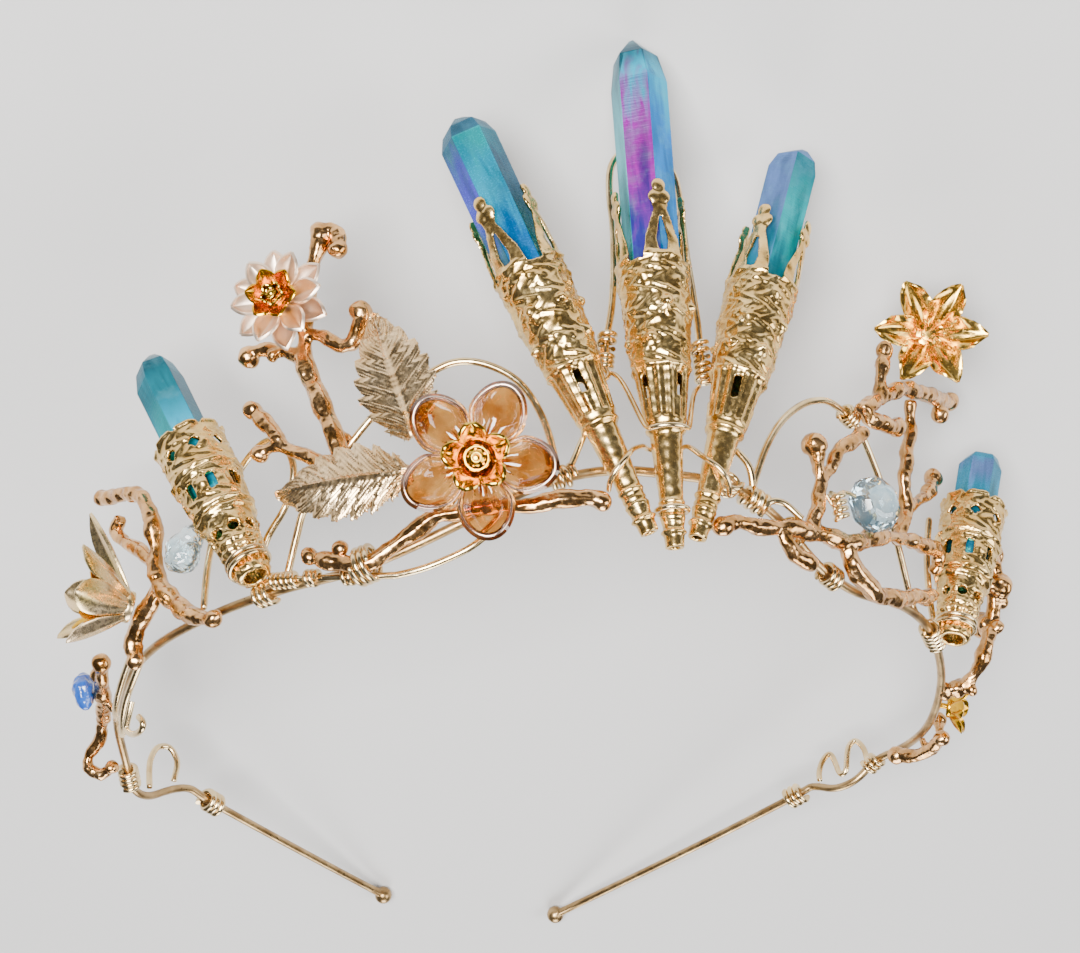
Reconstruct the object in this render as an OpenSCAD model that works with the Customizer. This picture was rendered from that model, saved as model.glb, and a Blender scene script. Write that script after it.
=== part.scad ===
// Crystal crown: a wire headband that carries five quartz points in metal cones, with cast twigs,
// wire arches, leaves, flowers and small stones. It is built as worn, with x to the right, y to the
// back of the head and z up, and then laid on its points and its two band ends, as it rests.

/* [Headband] */
// Half the width of the headband, to the middle of its wire
band_rx = 67.5; // [64:0.5:72]
// Half the depth of the round front of the headband
band_ry = 72.5; // [69:0.5:77]
// Thickness of the headband's wire
band_d = 1.4; // [1.2:0.1:1.6]
// Width of the ball on each end of the headband
band_ball_d = 3.2; // [2.6:0.1:3.6]
// How far the ornament leans outwards for each millimetre of height
flare = 0.3; // [0.26:0.01:0.34]

/* [Crystals] */
// Width of the three tall crystals across their corners
tall_crystal_d = 8.6; // [8:0.1:8.8]
// Width of the two side crystals across their corners
side_crystal_d = 7.4; // [7:0.1:7.8]

/* [Cones] */
// Length of a tall cone from its foot to the root of its prongs
tall_cone_l = 42; // [40:0.5:44]
// Length of the four prongs of a tall cone
prong_l = 11; // [9:0.5:12]
// Width of a tall cone at its mouth
tall_mouth_d = 10.4; // [10.2:0.1:10.8]
// Width of a tall cone at its foot
tall_foot_d = 2.6; // [2.4:0.1:3]
// Length of a side cone
side_cone_l = 26; // [24:0.5:27]
// Width of a side cone at its mouth
side_mouth_d = 10.2; // [9.8:0.1:10.6]
// Wall of the cones
cone_wall = 0.6; // [0.5:0.05:0.7]

/* [Wires] */
// Thickness of the wire in the arches
arch_d = 1.1; // [0.9:0.1:1.2]
// Thickness of the wire that ties the cones
tie_d = 0.8; // [0.7:0.1:0.9]
// Thickness of the wire that is wound on in coils
coil_d = 0.8; // [0.7:0.1:0.9]
// Thickness of the heavy coils at the band's rear bends
end_coil_d = 1.1; // [0.9:0.1:1.2]
// Thickness of the short posts that solder a piece to its wire
post_d = 1; // [0.8:0.1:1.2]
// Space left between pieces that are bound together
gap = 0.15; // [0.1:0.05:0.2]

/* [Flowers and leaves] */
// Length of a leaf
leaf_l = 20; // [18:0.5:22]
// Width of a leaf
leaf_w = 11.5; // [10:0.5:12.5]
// Thickness of leaf and petal metal
sheet_t = 0.7; // [0.5:0.1:0.8]
// Thickness of the glass petals
glass_t = 1.4; // [1:0.1:1.6]

/* [Rest] */
// Turn about x that lays the crown on its points and band ends
rest_pitch = 203.15; // [195:0.05:210]
// Tilt about y in the same rest
rest_roll = 1.64; // [-12:0.02:12]

/* [Hidden] */
$fn = 32;
WIRE_SIDES = 6;

// Colours of the metals and stones
BRASS = "#c9a45c";
PALE_GOLD = "#d8c184";
ROSE_GOLD = "#c98f58";
AMBER = "#c9762a";
AQUA = "#3fa9c4";
ICE = "#bcd8e4";

// A place on the ornament's flaring wall: degrees round from the front, height above the band,
// distance out from it
function wall(a, h, out) = let (o = out + flare * h) [(band_rx + o) * sin(a), -(band_ry + o) * cos(a), h];
function on_wall(rows) = [for (r = rows) wall(r[0], r[1], r[2])];
function unit(v) = v / norm(v);
function at_end(p, i) = p[max(0, min(len(p) - 1, i))];
function tangent(p, i) = unit(at_end(p, i + 1) - at_end(p, i - 1));
function outwards(q) = [q.x, q.y, 0];

// A smooth curve through the points p, with n steps from each to the next
function bend(a, b, c, d, t) =
    0.5 * (2 * b + (c - a) * t + (2 * a - 5 * b + 4 * c - d) * t * t + (3 * b - a - 3 * c + d) * t * t * t);
function curve(p, n) = concat(
    [for (i = [0:len(p) - 2], k = [0:n - 1])
        bend(at_end(p, i - 1), p[i], p[i + 1], at_end(p, i + 2), k / n)],
    [p[len(p) - 1]]);

// A wire along the points p, of thickness d or of one thickness for each point. Its rings are squared to ref,
// or to the way out from the head
module wire(p, d, ref = undef) {
    s = WIRE_SIDES;
    rings = [for (i = [0:len(p) - 1])
        let (t = tangent(p, i), u = unit(cross(t, is_undef(ref) ? outwards(p[i]) : ref)), v = cross(u, t),
            r = (is_list(d) ? d[i] : d) / 2)
        for (k = [0:s - 1]) p[i] + r * (cos(360 * k / s) * u + sin(360 * k / s) * v)];
    last = (len(p) - 1) * s;
    polyhedron(rings, concat(
        [[for (k = [0:s - 1]) s - 1 - k]],
        [[for (k = [0:s - 1]) last + k]],
        [for (i = [0:len(p) - 2], k = [0:s - 1])
            let (a = i * s + k, b = i * s + (k + 1) % s) each [[a, b, b + s], [a, b + s, a + s]]]));
}

// Stands its children on the point p, with their z axis along the direction d
module aim(p, d, turn = 0) {
    translate(p) rotate([0, acos(d.z / norm(d)), atan2(d.y, d.x)]) rotate([0, 0, turn]) children();
}

// Points of a wire that winds round the line from a to b, rx out along side and ry across it
function winding(a, b, rx, ry, turns, side, steps = 10) =
    let (w = unit(b - a), u = unit(side - w * (side * w)), v = cross(w, u), n = turns * steps)
    [for (j = [0:n]) a + (b - a) * j / n + rx * cos(360 * j / steps) * u + ry * sin(360 * j / steps) * v];

// A close coil of turns round a core, from a towards b, as one ribbed sleeve
module sleeve(a, b, core_d, turns, d = coil_d) {
    pitch = norm(b - a) / turns;
    r = core_d / 2 + gap + d / 2;
    aim(a, b - a) rotate_extrude() difference() {
        union() {
            for (i = [0:turns - 1]) translate([r, (i + 0.5) * pitch]) circle(d = d);
            translate([r - d / 4, pitch / 2]) square([d / 2, (turns - 1) * pitch]);
        }
        translate([0, -d]) square([core_d / 2 + gap, turns * pitch + 2 * d]);
    }
}

// A cast twig's branch along rows of [x, y, z, thickness], or of [degrees, height, out, thickness],
// and the round bud at its end
module limb(rows) {
    q = curve(rows, 2);
    wire([for (r = q) [r[0], r[1], r[2]]], [for (r = q) r[3]]);
}
module bough(rows) {
    limb([for (r = rows) concat(wall(r[0], r[1], r[2]), r[3])]);
}
module bud(row, d) {
    translate(wall(row[0], row[1], row[2])) sphere(d = d);
}
// The point of a line of points that lies nearest to the point a
function drop(a, p, q) = let (w = q - p) p + w * max(0, min(1, ((a - p) * w) / (w * w)));
function nearest(line, a) = let (feet = [for (i = [0:len(line) - 2]) drop(a, line[i], line[i + 1])],
    off = [for (q = feet) norm(q - a)], least = min(off))
    [for (i = [0:len(off) - 1]) if (off[i] == least) feet[i]][0];
// A short post from the point a to just short of a wire of thickness d
module post(a, line, d) {
    b = nearest(line, a);
    aim(a, b - a) cylinder(d = post_d, h = norm(b - a) - d / 2 - gap);
}

// A thin sheet between two grids of points with the given number of columns
module sheet(front, back, cols) {
    n = len(front);
    rows = n / cols;
    rim = concat([for (j = [0:cols - 1]) j], [for (i = [1:rows - 1]) i * cols + cols - 1],
        [for (j = [1:cols - 1]) n - 1 - j], [for (i = [1:rows - 2]) (rows - 1 - i) * cols]);
    polyhedron(concat(front, back), concat(
        [for (i = [0:rows - 2], j = [0:cols - 2]) let (a = i * cols + j) each
            [[a, a + cols + 1, a + cols], [a, a + 1, a + cols + 1]]],
        [for (i = [0:rows - 2], j = [0:cols - 2]) let (a = n + i * cols + j) each
            [[a, a + cols, a + cols + 1], [a, a + cols + 1, a + 1]]],
        [for (k = [0:len(rim) - 1]) let (a = rim[k], b = rim[(k + 1) % len(rim)]) each
            [[a, b + n, b], [a, a + n, b + n]]]));
}

// A petal along x, with its width at equal steps as shares of w; it rises by lift and its edges
// turn up by cup
POINTED = [0.3, 0.8, 1, 0.75, 0.1];
ROUND = [0.25, 0.62, 0.95, 1, 0.5];
STRAP = [0.3, 0.7, 1, 1, 0.3];
module petal(l, w, lift, cup, t = sheet_t, shape = POINTED) {
    side = [-1, 0, 1];
    n = len(shape) - 1;
    top = [for (i = [0:n], s = side)
        [l * i / n, s * w / 2 * shape[i], lift * pow(i / n, 2) + cup * s * s * shape[i]]];
    sheet([for (q = top) q + [0, 0, t / 2]], [for (q = top) q - [0, 0, t / 2]], len(side));
}
module petals(n, hub, open, l, w, lift, cup, turn = 0, t = sheet_t, shape = POINTED) {
    for (k = [0:n - 1]) rotate(turn + 360 * k / n) translate([hub, 0, 0]) rotate([0, -open, 0])
        petal(l, w, lift, cup, t, shape);
}
// The disc that a flower's petals are soldered to
module hub(d, h, z = 0) {
    translate([0, 0, z - h / 2]) cylinder(d = d, h = h);
}

// The headband: its round front by the wall, and its two straight legs as points
// [degrees round, height, out]
BAND_FRONT = [[-95, -1, 0], [-86, 0.6, 0], [-76, 0, 0], [-62, -2, 0], [-48, -4.5, 0], [-36, -6, 0],
    [-28, -6.8, 0], [-20, -5.5, 0], [-12, -2.5, -0.2], [-4, 1.5, -0.5], [4, 3.8, -0.6], [12, 4.2, -0.6],
    [19, 4.2, -0.3], [26, 1.5, 0], [33, -2.8, 0], [41, -3.5, 0], [50, -1, 1], [60, 0.6, 2],
    [72, 0.2, 2.5], [84, 0, 2.2], [94, 2.2, 1.4]];
LEFT_LEG = [[-22, 67, 0], [-38.4, 46.5, 0.6], [-54, 27.4, 1.6], [-57.7, 23.2, 2.3], [-61, 20.2, 0.5],
    [-64, 16.5, -2.4], [-66.1, 12.1, -3]];
RIGHT_LEG = [[65.8, 12.8, 3], [62.6, 15.8, 0.6], [59.2, 18.8, 0.2], [56.2, 22.3, 2.3], [53.2, 24.9, 1.6],
    [37.9, 41, -0.9], [13.1, 71, -2.8]];
band_line = curve(concat(LEFT_LEG, on_wall(BAND_FRONT), RIGHT_LEG), 3);
// The step of the band's line that lies nearest to a number of degrees round from the front
function turned(q) = atan2(q.x / band_rx, -q.y / band_ry);
function band_step(a) = let (off = [for (q = band_line) abs(turned(q) - a)], least = min(off))
    [for (i = [0:len(off) - 1]) if (off[i] == least) i][0];
function band_at(a) = band_line[band_step(a)];

module headband() {
    color(BRASS) {
        wire(band_line, band_d);
        for (q = [band_line[0], band_line[len(band_line) - 1]]) translate(q) sphere(d = band_ball_d);
    }
}

// Each crystal and its cone share a line from the cone's foot to the crystal's tip
// [degrees, height, out] of the foot and of the tip, then the turn about the line
CENTRE = [wall(11.1, -8.1, 3), wall(6.6, 68.2, 3), 13];
INNER_LEFT = [wall(8.1, -6.5, 3), wall(-10.6, 53.7, 3), 10];
INNER_RIGHT = [wall(13.8, -6.3, 3), wall(24.4, 56.4, 3), 0];
FAR_LEFT = [wall(-38.4, -5.1, 3.5), wall(-48.9, 34.9, 3.5), 0];
FAR_RIGHT = [wall(61.9, -0.9, 5.5), wall(64.4, 34, 6.2), 0];
function line_l(l) = norm(l[1] - l[0]);
function along(l, s) = l[0] + unit(l[1] - l[0]) * s;
module on_line(l) {
    aim(l[0], l[1] - l[0], l[2]) children();
}

// A six-sided crystal from root to tip, cut off slanting; tip_at is how far its end lies off the middle
module crystal(d, root, tip, cap_l, tip_at, tip_w) {
    color(AQUA) hull() {
        translate([0, 0, root]) cylinder(d = d * 0.94, h = 0.02, $fn = 6);
        translate([0, 0, tip - cap_l]) cylinder(d = d, h = 0.02, $fn = 6);
        translate([tip_at * 0.3, 0, tip - cap_l * 0.45]) cylinder(d = d * 0.8, h = 0.02, $fn = 6);
        translate([tip_at, 0, tip - 0.02]) scale([1, 0.6, 1]) cylinder(d = tip_w, h = 0.02, $fn = 6);
    }
}
// How deep the crystals' roots sit in the tall cones and in the side cones
TALL_SEAT = 6;
SIDE_SEAT = 12.5;
module centre_crystal() {
    on_line(CENTRE) crystal(tall_crystal_d, tall_cone_l - TALL_SEAT, line_l(CENTRE), 9, -2, 1.6);
}
module inner_left_crystal() {
    on_line(INNER_LEFT) crystal(tall_crystal_d, tall_cone_l - TALL_SEAT, line_l(INNER_LEFT), 4, -0.8, 3.6);
}
module inner_right_crystal() {
    on_line(INNER_RIGHT)
        crystal(tall_crystal_d * 0.97, tall_cone_l - TALL_SEAT, line_l(INNER_RIGHT), 5, 0.6, 2.6);
}
module far_left_crystal() {
    on_line(FAR_LEFT) crystal(side_crystal_d, side_cone_l - SIDE_SEAT, line_l(FAR_LEFT), 6, -0.8, 1.6);
}
module far_right_crystal() {
    on_line(FAR_RIGHT)
        crystal(side_crystal_d * 0.97, side_cone_l - SIDE_SEAT, line_l(FAR_RIGHT), 2.5, 0.4, 4.4);
}

// A tall cone: a smooth foot with a collar, a windowed neck, an embossed bell and four prongs
// [share of the length, share of the mouth's radius]
TALL_PROFILE = [[0.0, tall_foot_d / tall_mouth_d], [0.06, 0.27], [0.2, 0.34], [0.38, 0.44], [0.4, 0.52],
    [0.58, 0.7], [0.62, 0.78], [0.8, 0.9], [1, 1]];
function tall_r(u) = lookup(u, TALL_PROFILE) * tall_mouth_d / 2;
// Half the section of a cone, drawn in by inset and run past both ends by over
module half_section(profile, mouth_d, l, inset, over, top) {
    r = [for (q = profile) mouth_d / 2 * q[1] - inset];
    last = len(profile) - 1;
    polygon(concat([[0, -over]], over > 0 ? [[r[0], -over]] : [],
        [for (i = [0:last]) [r[i], l * profile[i][0]]],
        [[r[last] - (top > 0 ? 0.15 : 0), l + top + over]], [[0, l + top + over]]));
}
module tall_cone() {
    l = tall_cone_l;
    color(PALE_GOLD) difference() {
        union() {
            rotate_extrude() half_section(TALL_PROFILE, tall_mouth_d, l, 0, 0, prong_l);
            for (u = [0.05, 0.1, 0.15]) translate([0, 0, l * u]) rib(tall_r(u), 0.35);
            for (k = [0:5]) rotate(60 * k) translate([tall_r(0.82) - 0.1, 0, l * 0.82]) sphere(r = 0.8);
            for (k = [0:5]) rotate(60 * k + 30) translate([tall_r(0.7) - 0.1, 0, l * 0.7]) sphere(r = 0.7);
        }
        rotate_extrude() half_section(TALL_PROFILE, tall_mouth_d, l, cone_wall, 1, prong_l);
        for (k = [0:3]) rotate(90 * k + 45) prong_gap();
        for (k = [0:3]) rotate(90 * k) eyelet();
        for (k = [0:3]) rotate(90 * k + 20) translate([0, 0, l * 0.5]) cube([tall_mouth_d, 1, 3.4]);
    }
}
module rib(r, h) {
    rotate_extrude() translate([r - 0.1, 0]) circle(r = h);
}
// The space between two prongs, wide at the top and round at its root
module prong_gap() {
    // [half its width, height over the mouth], so that each prong narrows to a neck and ends in lobes
    side = [[1.1, -1], [1.5, 2], [2, prong_l * 0.32], [2.8, prong_l * 0.58], [2.4, prong_l * 0.74],
        [2.95, prong_l * 0.86], [2.95, prong_l + 1]];
    n = len(side);
    translate([0, 0, tall_cone_l]) rotate([90, 0, 90]) linear_extrude(tall_mouth_d)
        polygon([for (k = [-n:n - 1]) k < 0 ? [-side[-1 - k].x, side[-1 - k].y] : side[k]]);
}
// The drop-shaped opening in each prong
module eyelet() {
    rotate([90, 0, 90]) linear_extrude(tall_mouth_d) polygon([[0, tall_cone_l + prong_l * 0.58],
        [-0.9, tall_cone_l + 1.6], [-0.6, tall_cone_l], [0.6, tall_cone_l], [0.9, tall_cone_l + 1.6]]);
}
module centre_cone() {
    on_line(CENTRE) tall_cone();
}
module inner_left_cone() {
    on_line(INNER_LEFT) tall_cone();
}
module inner_right_cone() {
    on_line(INNER_RIGHT) tall_cone();
}

// A side cone: scalloped mouth, double rings and rows of pierced holes round a hollow foot
SIDE_HOLES = 8;
// [share of the length, share of the mouth's radius]
SIDE_PROFILE = [[0, 0.42], [0.1, 0.5], [0.3, 0.68], [0.5, 0.85], [0.7, 0.95], [1, 1]];
function side_r(u) = lookup(u, SIDE_PROFILE) * side_mouth_d / 2;
module side_cone() {
    l = side_cone_l;
    color(PALE_GOLD) difference() {
        union() {
            rotate_extrude() polygon(concat([[0, 0]],
                [for (q = SIDE_PROFILE) [side_mouth_d / 2 * q[1], l * q[0]]], [[0, l]]));
            for (u = [0.02, 0.16, 0.4, 0.45, 0.7]) translate([0, 0, l * u]) rib(side_r(u), 0.4);
        }
        rotate_extrude() half_section(SIDE_PROFILE, side_mouth_d, l, cone_wall, 1, 0);
        for (k = [0:SIDE_HOLES - 1]) rotate(360 * k / SIDE_HOLES) {
            translate([0, 0, l * 0.85]) rotate([45, 0, 0])
                translate([0, -0.7, -0.7]) cube([side_mouth_d, 1.4, 1.4]);
            translate([0, -0.6, l * 0.53]) cube([side_mouth_d, 1.2, 2.6]);
            translate([0, 0, l * 0.28]) rotate([0, 90, 0]) cylinder(d = 1.5, h = side_mouth_d);
        }
        for (k = [0:SIDE_HOLES - 1]) rotate(360 * (k + 0.5) / SIDE_HOLES) translate([0, 0, l + 0.3])
            rotate([45, 0, 0]) translate([0, -0.8, -0.8]) cube([side_mouth_d, 1.6, 1.6]);
    }
}
module far_left_cone() {
    on_line(FAR_LEFT) side_cone();
}
module far_right_cone() {
    on_line(FAR_RIGHT) side_cone();
}

// Wire arches and braces, as rows of [degrees, height, out]
TALL_ARCH = [[3.9, 19.3, -1.5], [4.1, 23, -1.5], [4.8, 28, -1.7], [5.2, 34.8, -2.3], [5.2, 41.5, -2.6],
    [4.8, 47.4, -2.6], [5.3, 52, -2.6], [8, 55, -2.6], [11.6, 52.2, -2.6], [12.7, 47.9, -2.6],
    [13.5, 40.4, -2.6], [14.6, 30.3, -1.7], [15.1, 25.8, -1.5], [15.6, 19.3, -1.5]];
LEFT_ARCH = [[-36, -4.6, 0], [-33.6, 1, 0], [-31.7, 4.6, 0], [-25.3, 11, 0], [-21.3, 14.8, 0],
    [-15, 18.7, 0], [-11.7, 19.4, 0], [-8.5, 18.1, 0], [-5.7, 15.5, 0], [-3.6, 11.1, 0], [-2.5, 6.6, 0],
    [-2.1, 3.4, 0]];
SMALL_LEFT_ARCH = [[-41, -3.2, -0.7], [-39.1, 2.6, -1.4], [-35.4, 5.9, -1.2], [-33.3, 10.5, -0.8],
    [-34.5, 15.2, -1], [-37.2, 16.9, -1.8], [-41.1, 16.2, -2.8], [-46, 12, -2.8], [-49, 4, -1.4],
    [-50, -2.9, -0.1]];
RIGHT_ARCH = [[22.2, 4.5, 0], [22.7, 6.8, 0], [24, 11.6, 0], [25.9, 15.9, 0], [28.6, 19.5, 0],
    [31.2, 21.5, 0], [33.6, 22.2, 0], [38, 22, -0.4]];
RIGHT_CROSS_WIRE = [[38.2, 24, -1.6], [41.8, 22, -2], [47.5, 17, -2], [53, 10, -1.4], [57, 4, -0.4],
    [58, 2, 0.4]];
RIGHT_UPRIGHT_WIRE = [[60.5, 21, -0.4], [61.5, 15, -0.4], [62.5, 8, 0.6], [63.8, 1.8, 2.1]];
LOWER_WIRE = [[-22.4, -8.7, 0], [-18.2, -8.5, 0], [-13.5, -7.1, 0], [-11.3, -5.8, 0], [-8.9, -3.6, 0],
    [-7.8, -1.95, 0.05]];

left_arch_line = curve(on_wall(LEFT_ARCH), 3);
module arch(rows, d = arch_d) {
    color(BRASS) wire(curve(on_wall(rows), 3), d);
}
module tall_arch() {
    arch(TALL_ARCH);
}
module left_arch() {
    arch(LEFT_ARCH);
}
module small_left_arch() {
    arch(SMALL_LEFT_ARCH);
}
module right_arch() {
    arch(RIGHT_ARCH);
}
module right_cross_wire() {
    arch(RIGHT_CROSS_WIRE);
}
module right_upright_wire() {
    arch(RIGHT_UPRIGHT_WIRE);
}
module lower_wire() {
    arch(LOWER_WIRE, tie_d + 0.2);
}

// Points part of the way round a line's cone at distance s up it, from angle a0 to a1
function round_line(l, s, r, a0, a1, rise = 0, n = 8) =
    let (w = unit(l[1] - l[0]), u = unit([1, 0, 0] - w * w.x), v = cross(w, u))
    [for (k = [0:n]) let (a = a0 + (a1 - a0) * k / n)
        along(l, s + rise * k / n) + r * (cos(a) * u + sin(a) * v)];
module neck_tie() {
    s = 16.5;
    r = tall_r(s / tall_cone_l) + gap + tie_d / 2 + 0.2;
    color(BRASS) wire(concat([wall(4.3, 18, -0.9), wall(5.4, 16.5, 0.8)],
        round_line(CENTRE, s, r, 200, 340), [wall(13.6, 15.5, 0.8), wall(15.2, 18, -0.9)]),
        tie_d, CENTRE[1] - CENTRE[0]);
}
module foot_tie() {
    r = tall_r(10 / tall_cone_l) + gap + tie_d / 2 + 0.3;
    color(BRASS) wire(concat(round_line(INNER_LEFT, 7.5, r, 175, 330, 4),
        round_line(CENTRE, 15, r + 0.5, 165, 15),
        round_line(INNER_RIGHT, 11.5, r, 210, 365, -4)), tie_d, [0, 0, 1]);
}
module foot_ring() {
    s = 5.25;
    color(BRASS) on_line(CENTRE) translate([0, 0, s]) rotate_extrude()
        translate([tall_r(s / tall_cone_l) + gap + tie_d / 2, 0]) circle(d = tie_d);
}

// Cast twigs, each branch as rows of [degrees, height, out, thickness]
module tall_twig() {
    color(ROSE_GOLD) {
        bough([[-26.2, 8, 2.6, 2.6], [-27.1, 13.7, 2.6, 2.6], [-28.2, 18.3, 2.6, 2.7],
            [-28.9, 23.2, 2.6, 2.6], [-28.4, 27, 2.6, 2.4], [-27.9, 31.6, 2.6, 2.3],
            [-26.1, 38.4, 2.6, 2.3], [-24.9, 41.4, 2.6, 2.4], [-23.8, 40.6, 2.6, 2.2],
            [-23.8, 37.9, 2.6, 2.2]]);
        bough([[-28.9, 23.4, 2.6, 2.4], [-30.6, 24.7, 2.6, 2.2], [-33.9, 26.8, 2.6, 2],
            [-35.1, 26.8, 2.6, 2]]);
        bough([[-28.4, 26.6, 2.6, 2], [-26.4, 25.4, 2.6, 1.9], [-24.5, 23.1, 2.6, 1.9],
            [-23, 23.9, 2.6, 1.9], [-22.2, 27, 2.6, 1.9]]);
        bud([-35.4, 26.8, 2.6], 2.8);
        bud([-32.3, 24.6, 3.4], 2);
        bud([-22.1, 27.6, 2.6], 2.9);
        bud([-25.4, 41, 2.6], 3.2);
        bud([-23.8, 37.6, 2.6], 2.6);
        post(wall(-26.8, 12, 2.6), left_arch_line, arch_d);
    }
}
module left_twig() {
    color(ROSE_GOLD) {
        bough([[-26.6, 4.9, 2.6, 2.2], [-27.5, 6.2, 2.6, 2.2], [-30.4, 9.7, 2.6, 2.1],
            [-32.7, 11.5, 2.6, 2.1], [-34, 14.7, 2.6, 2.1], [-35.9, 18.4, 2.6, 1.9]]);
        bough([[-32.5, 11.3, 2.6, 2], [-34, 12.2, 2.6, 1.9], [-35.4, 12.3, 2.6, 1.8]]);
        bud([-36.1, 18.8, 2.6], 2.8);
        bud([-35.8, 12, 2.6], 2.4);
        post(wall(-30.4, 9.7, 2.6), left_arch_line, arch_d);
    }
}
module low_twig() {
    color(ROSE_GOLD) {
        bough([[-31.1, -4.7, 2.4, 1.9], [-28.3, -6.3, 2.4, 2.2], [-24.9, -7.7, 2.4, 2.4],
            [-22.4, -6.6, 2.4, 2.2], [-18.9, -5, 2.4, 2.3], [-15.8, -3.2, 2.4, 2.4], [-11, -3, 2.4, 2.2],
            [-4.9, -2.8, 2.4, 2.3], [-2, -2.3, 2.4, 2.2], [0.7, -2.1, 2.4, 2.4], [3, -2.4, 2.4, 1.8]]);
        bud([-31.4, -4.6, 2.4], 2.6);
        bud([2.6, -2.4, 2.4], 2.4);
        bud([-27.4, -4.9, 2.6], 1.8);
        post(wall(-11, -3, 2.4), band_line, band_d);
    }
}
module right_twig() {
    color(ROSE_GOLD) {
        bough([[17.3, -3.6, 2.6, 2.1], [19.1, -2.5, 2.6, 2], [21.7, -2.7, 2.6, 2.2],
            [24.6, -1.8, 2.8, 2.2], [27.4, -1.1, 2.8, 2.4], [32, 0, 2.8, 2.6], [35.7, 0.2, 2.8, 2.8],
            [40.5, 3.7, 2.8, 2.4], [46.4, 6.7, 2.8, 2.2], [54.1, 10.3, 2.8, 2.2], [57.6, 11.8, 2.8, 2],
            [58.3, 9.6, 2.8, 1.9]]);
        bough([[35.7, -0.2, 2.8, 2.6], [36.4, -2.4, 2.8, 2.5], [39.5, -4.1, 2.8, 2.7],
            [43.7, -4, 2.8, 2.8], [50.6, -0.3, 3, 2.5], [55.6, 2.8, 3.2, 2.2]]);
        bough([[29.2, 12.1, 2.8, 2.2], [30, 8.7, 2.8, 2], [30.5, 6.9, 2.8, 2.1], [30.1, 3, 2.8, 2.2],
            [29.4, -0.6, 2.8, 2.4]]);
        bough([[30.4, 7.4, 2.8, 2], [31.9, 9.8, 2.8, 2], [33.1, 13.3, 2.8, 2], [35.8, 16.3, 2.8, 2],
            [36.5, 18, 2.8, 2]]);
        bough([[25, -2, 2.8, 2], [27.3, -4.9, 2.8, 2], [30.4, -5.2, 2.8, 1.7]]);
        bud([17.1, -3.8, 2.6], 2.7);
        bud([29.1, 12.2, 2.8], 3.1);
        bud([58.1, 9.2, 2.8], 2.3);
        bud([56, 3.2, 3.2], 2.4);
    }
}
module upper_right_twig() {
    color(ROSE_GOLD) {
        bough([[43, 22.9, 2.8, 2], [39, 20.9, 2.8, 2.2], [36.4, 21.3, 2.8, 2.6], [39.2, 25.2, 2.8, 2.4],
            [39, 28.3, 2.8, 2.1], [39.4, 32.4, 2.8, 2]]);
        bough([[39.2, 25.4, 2.8, 2.2], [43.6, 29.7, 2.8, 2.3], [47.9, 32.2, 2.8, 2.3],
            [52.5, 35, 2.6, 2.4], [56.4, 38, 2.4, 2.2]]);
        bud([43.4, 23, 2.8], 2.6);
        bud([39.4, 33, 2.8], 2.8);
        bud([57.2, 38.6, 2.4], 3);
        bud([53.6, 33.6, 2.6], 2.8);
    }
}
module stem_twig() {
    color(ROSE_GOLD) {
        bough([[48.6, 32.4, 0.4, 1.9], [49.8, 29.6, 0, 2], [50.2, 27, -0.2, 2.1], [49.9, 20.7, -0.2, 2],
            [51.4, 16.2, -0.2, 2.2], [50.7, 12.9, -0.2, 2], [49.6, 9.2, -0.2, 1.8]]);
        bough([[51.2, 16.4, -0.2, 2], [54.5, 19.4, 0, 1.9], [57.4, 22.5, 0, 2], [59, 26.4, 0, 1.9]]);
        bud([59.2, 27, 0], 2.8);
    }
}
module hooked_twig() {
    color(ROSE_GOLD) {
        bough([[-62.6, 22.5, 3, 2.4], [-58.8, 19.6, 3, 2.3], [-55.6, 17.6, 3, 2.5], [-54, 14.8, 3, 2.3],
            [-53.3, 11.3, 3, 2.3], [-53.9, 6.5, 3, 2.3], [-54.5, 2.5, 3, 2.5], [-52.6, -1, 3, 2.5],
            [-49.6, -5, 3.2, 2.3], [-46.2, -7.4, 3.4, 2]]);
        bough([[-54.2, 5.4, 3, 2.1], [-56.1, 8.5, 3, 2], [-59.3, 12.2, 3, 1.9], [-61.2, 15.4, 3, 1.9],
            [-59.6, 16.4, 3, 1.8]]);
        bough([[-54.6, 2, 3, 2.5], [-58.8, 0.4, 3, 2.4], [-62.4, -1.4, 3, 2.4], [-62.7, -4.1, 3, 2.2]]);
        bud([-62.8, 22.6, 3], 2.6);
        bud([-45.8, -7.6, 3.4], 2.6);
        bud([-62.7, -4.6, 3], 2.6);
        post(wall(-52.6, -1, 3), band_line, band_d);
    }
}
module rear_left_twig() {
    color(ROSE_GOLD) {
        limb([[-68.9, -18.4, 3.2, 2.2], [-69.4, -12.5, 3.2, 2.5], [-69.6, -7, 3.2, 2.4],
            [-70.2, -2, 3.3, 2.3], [-70.8, 1.6, 2.6, 2.1], [-71.6, 4, 1, 1.9], [-73.1, 5.6, -0.2, 1.9],
            [-73, 6.6, -2, 1.9], [-70.8, 6.4, -3.2, 1.9], [-69.2, 5, -2.8, 1.8]]);
        translate([-68.8, -19, 3.2]) sphere(d = 2.8);
        translate([-69, 4.8, -2.7]) sphere(d = 2.3);
        translate([-70.2, -14, 4.2]) sphere(d = 2.4);
        post([-69.5, -8, 3.2], band_line, band_d);
    }
}
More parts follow.
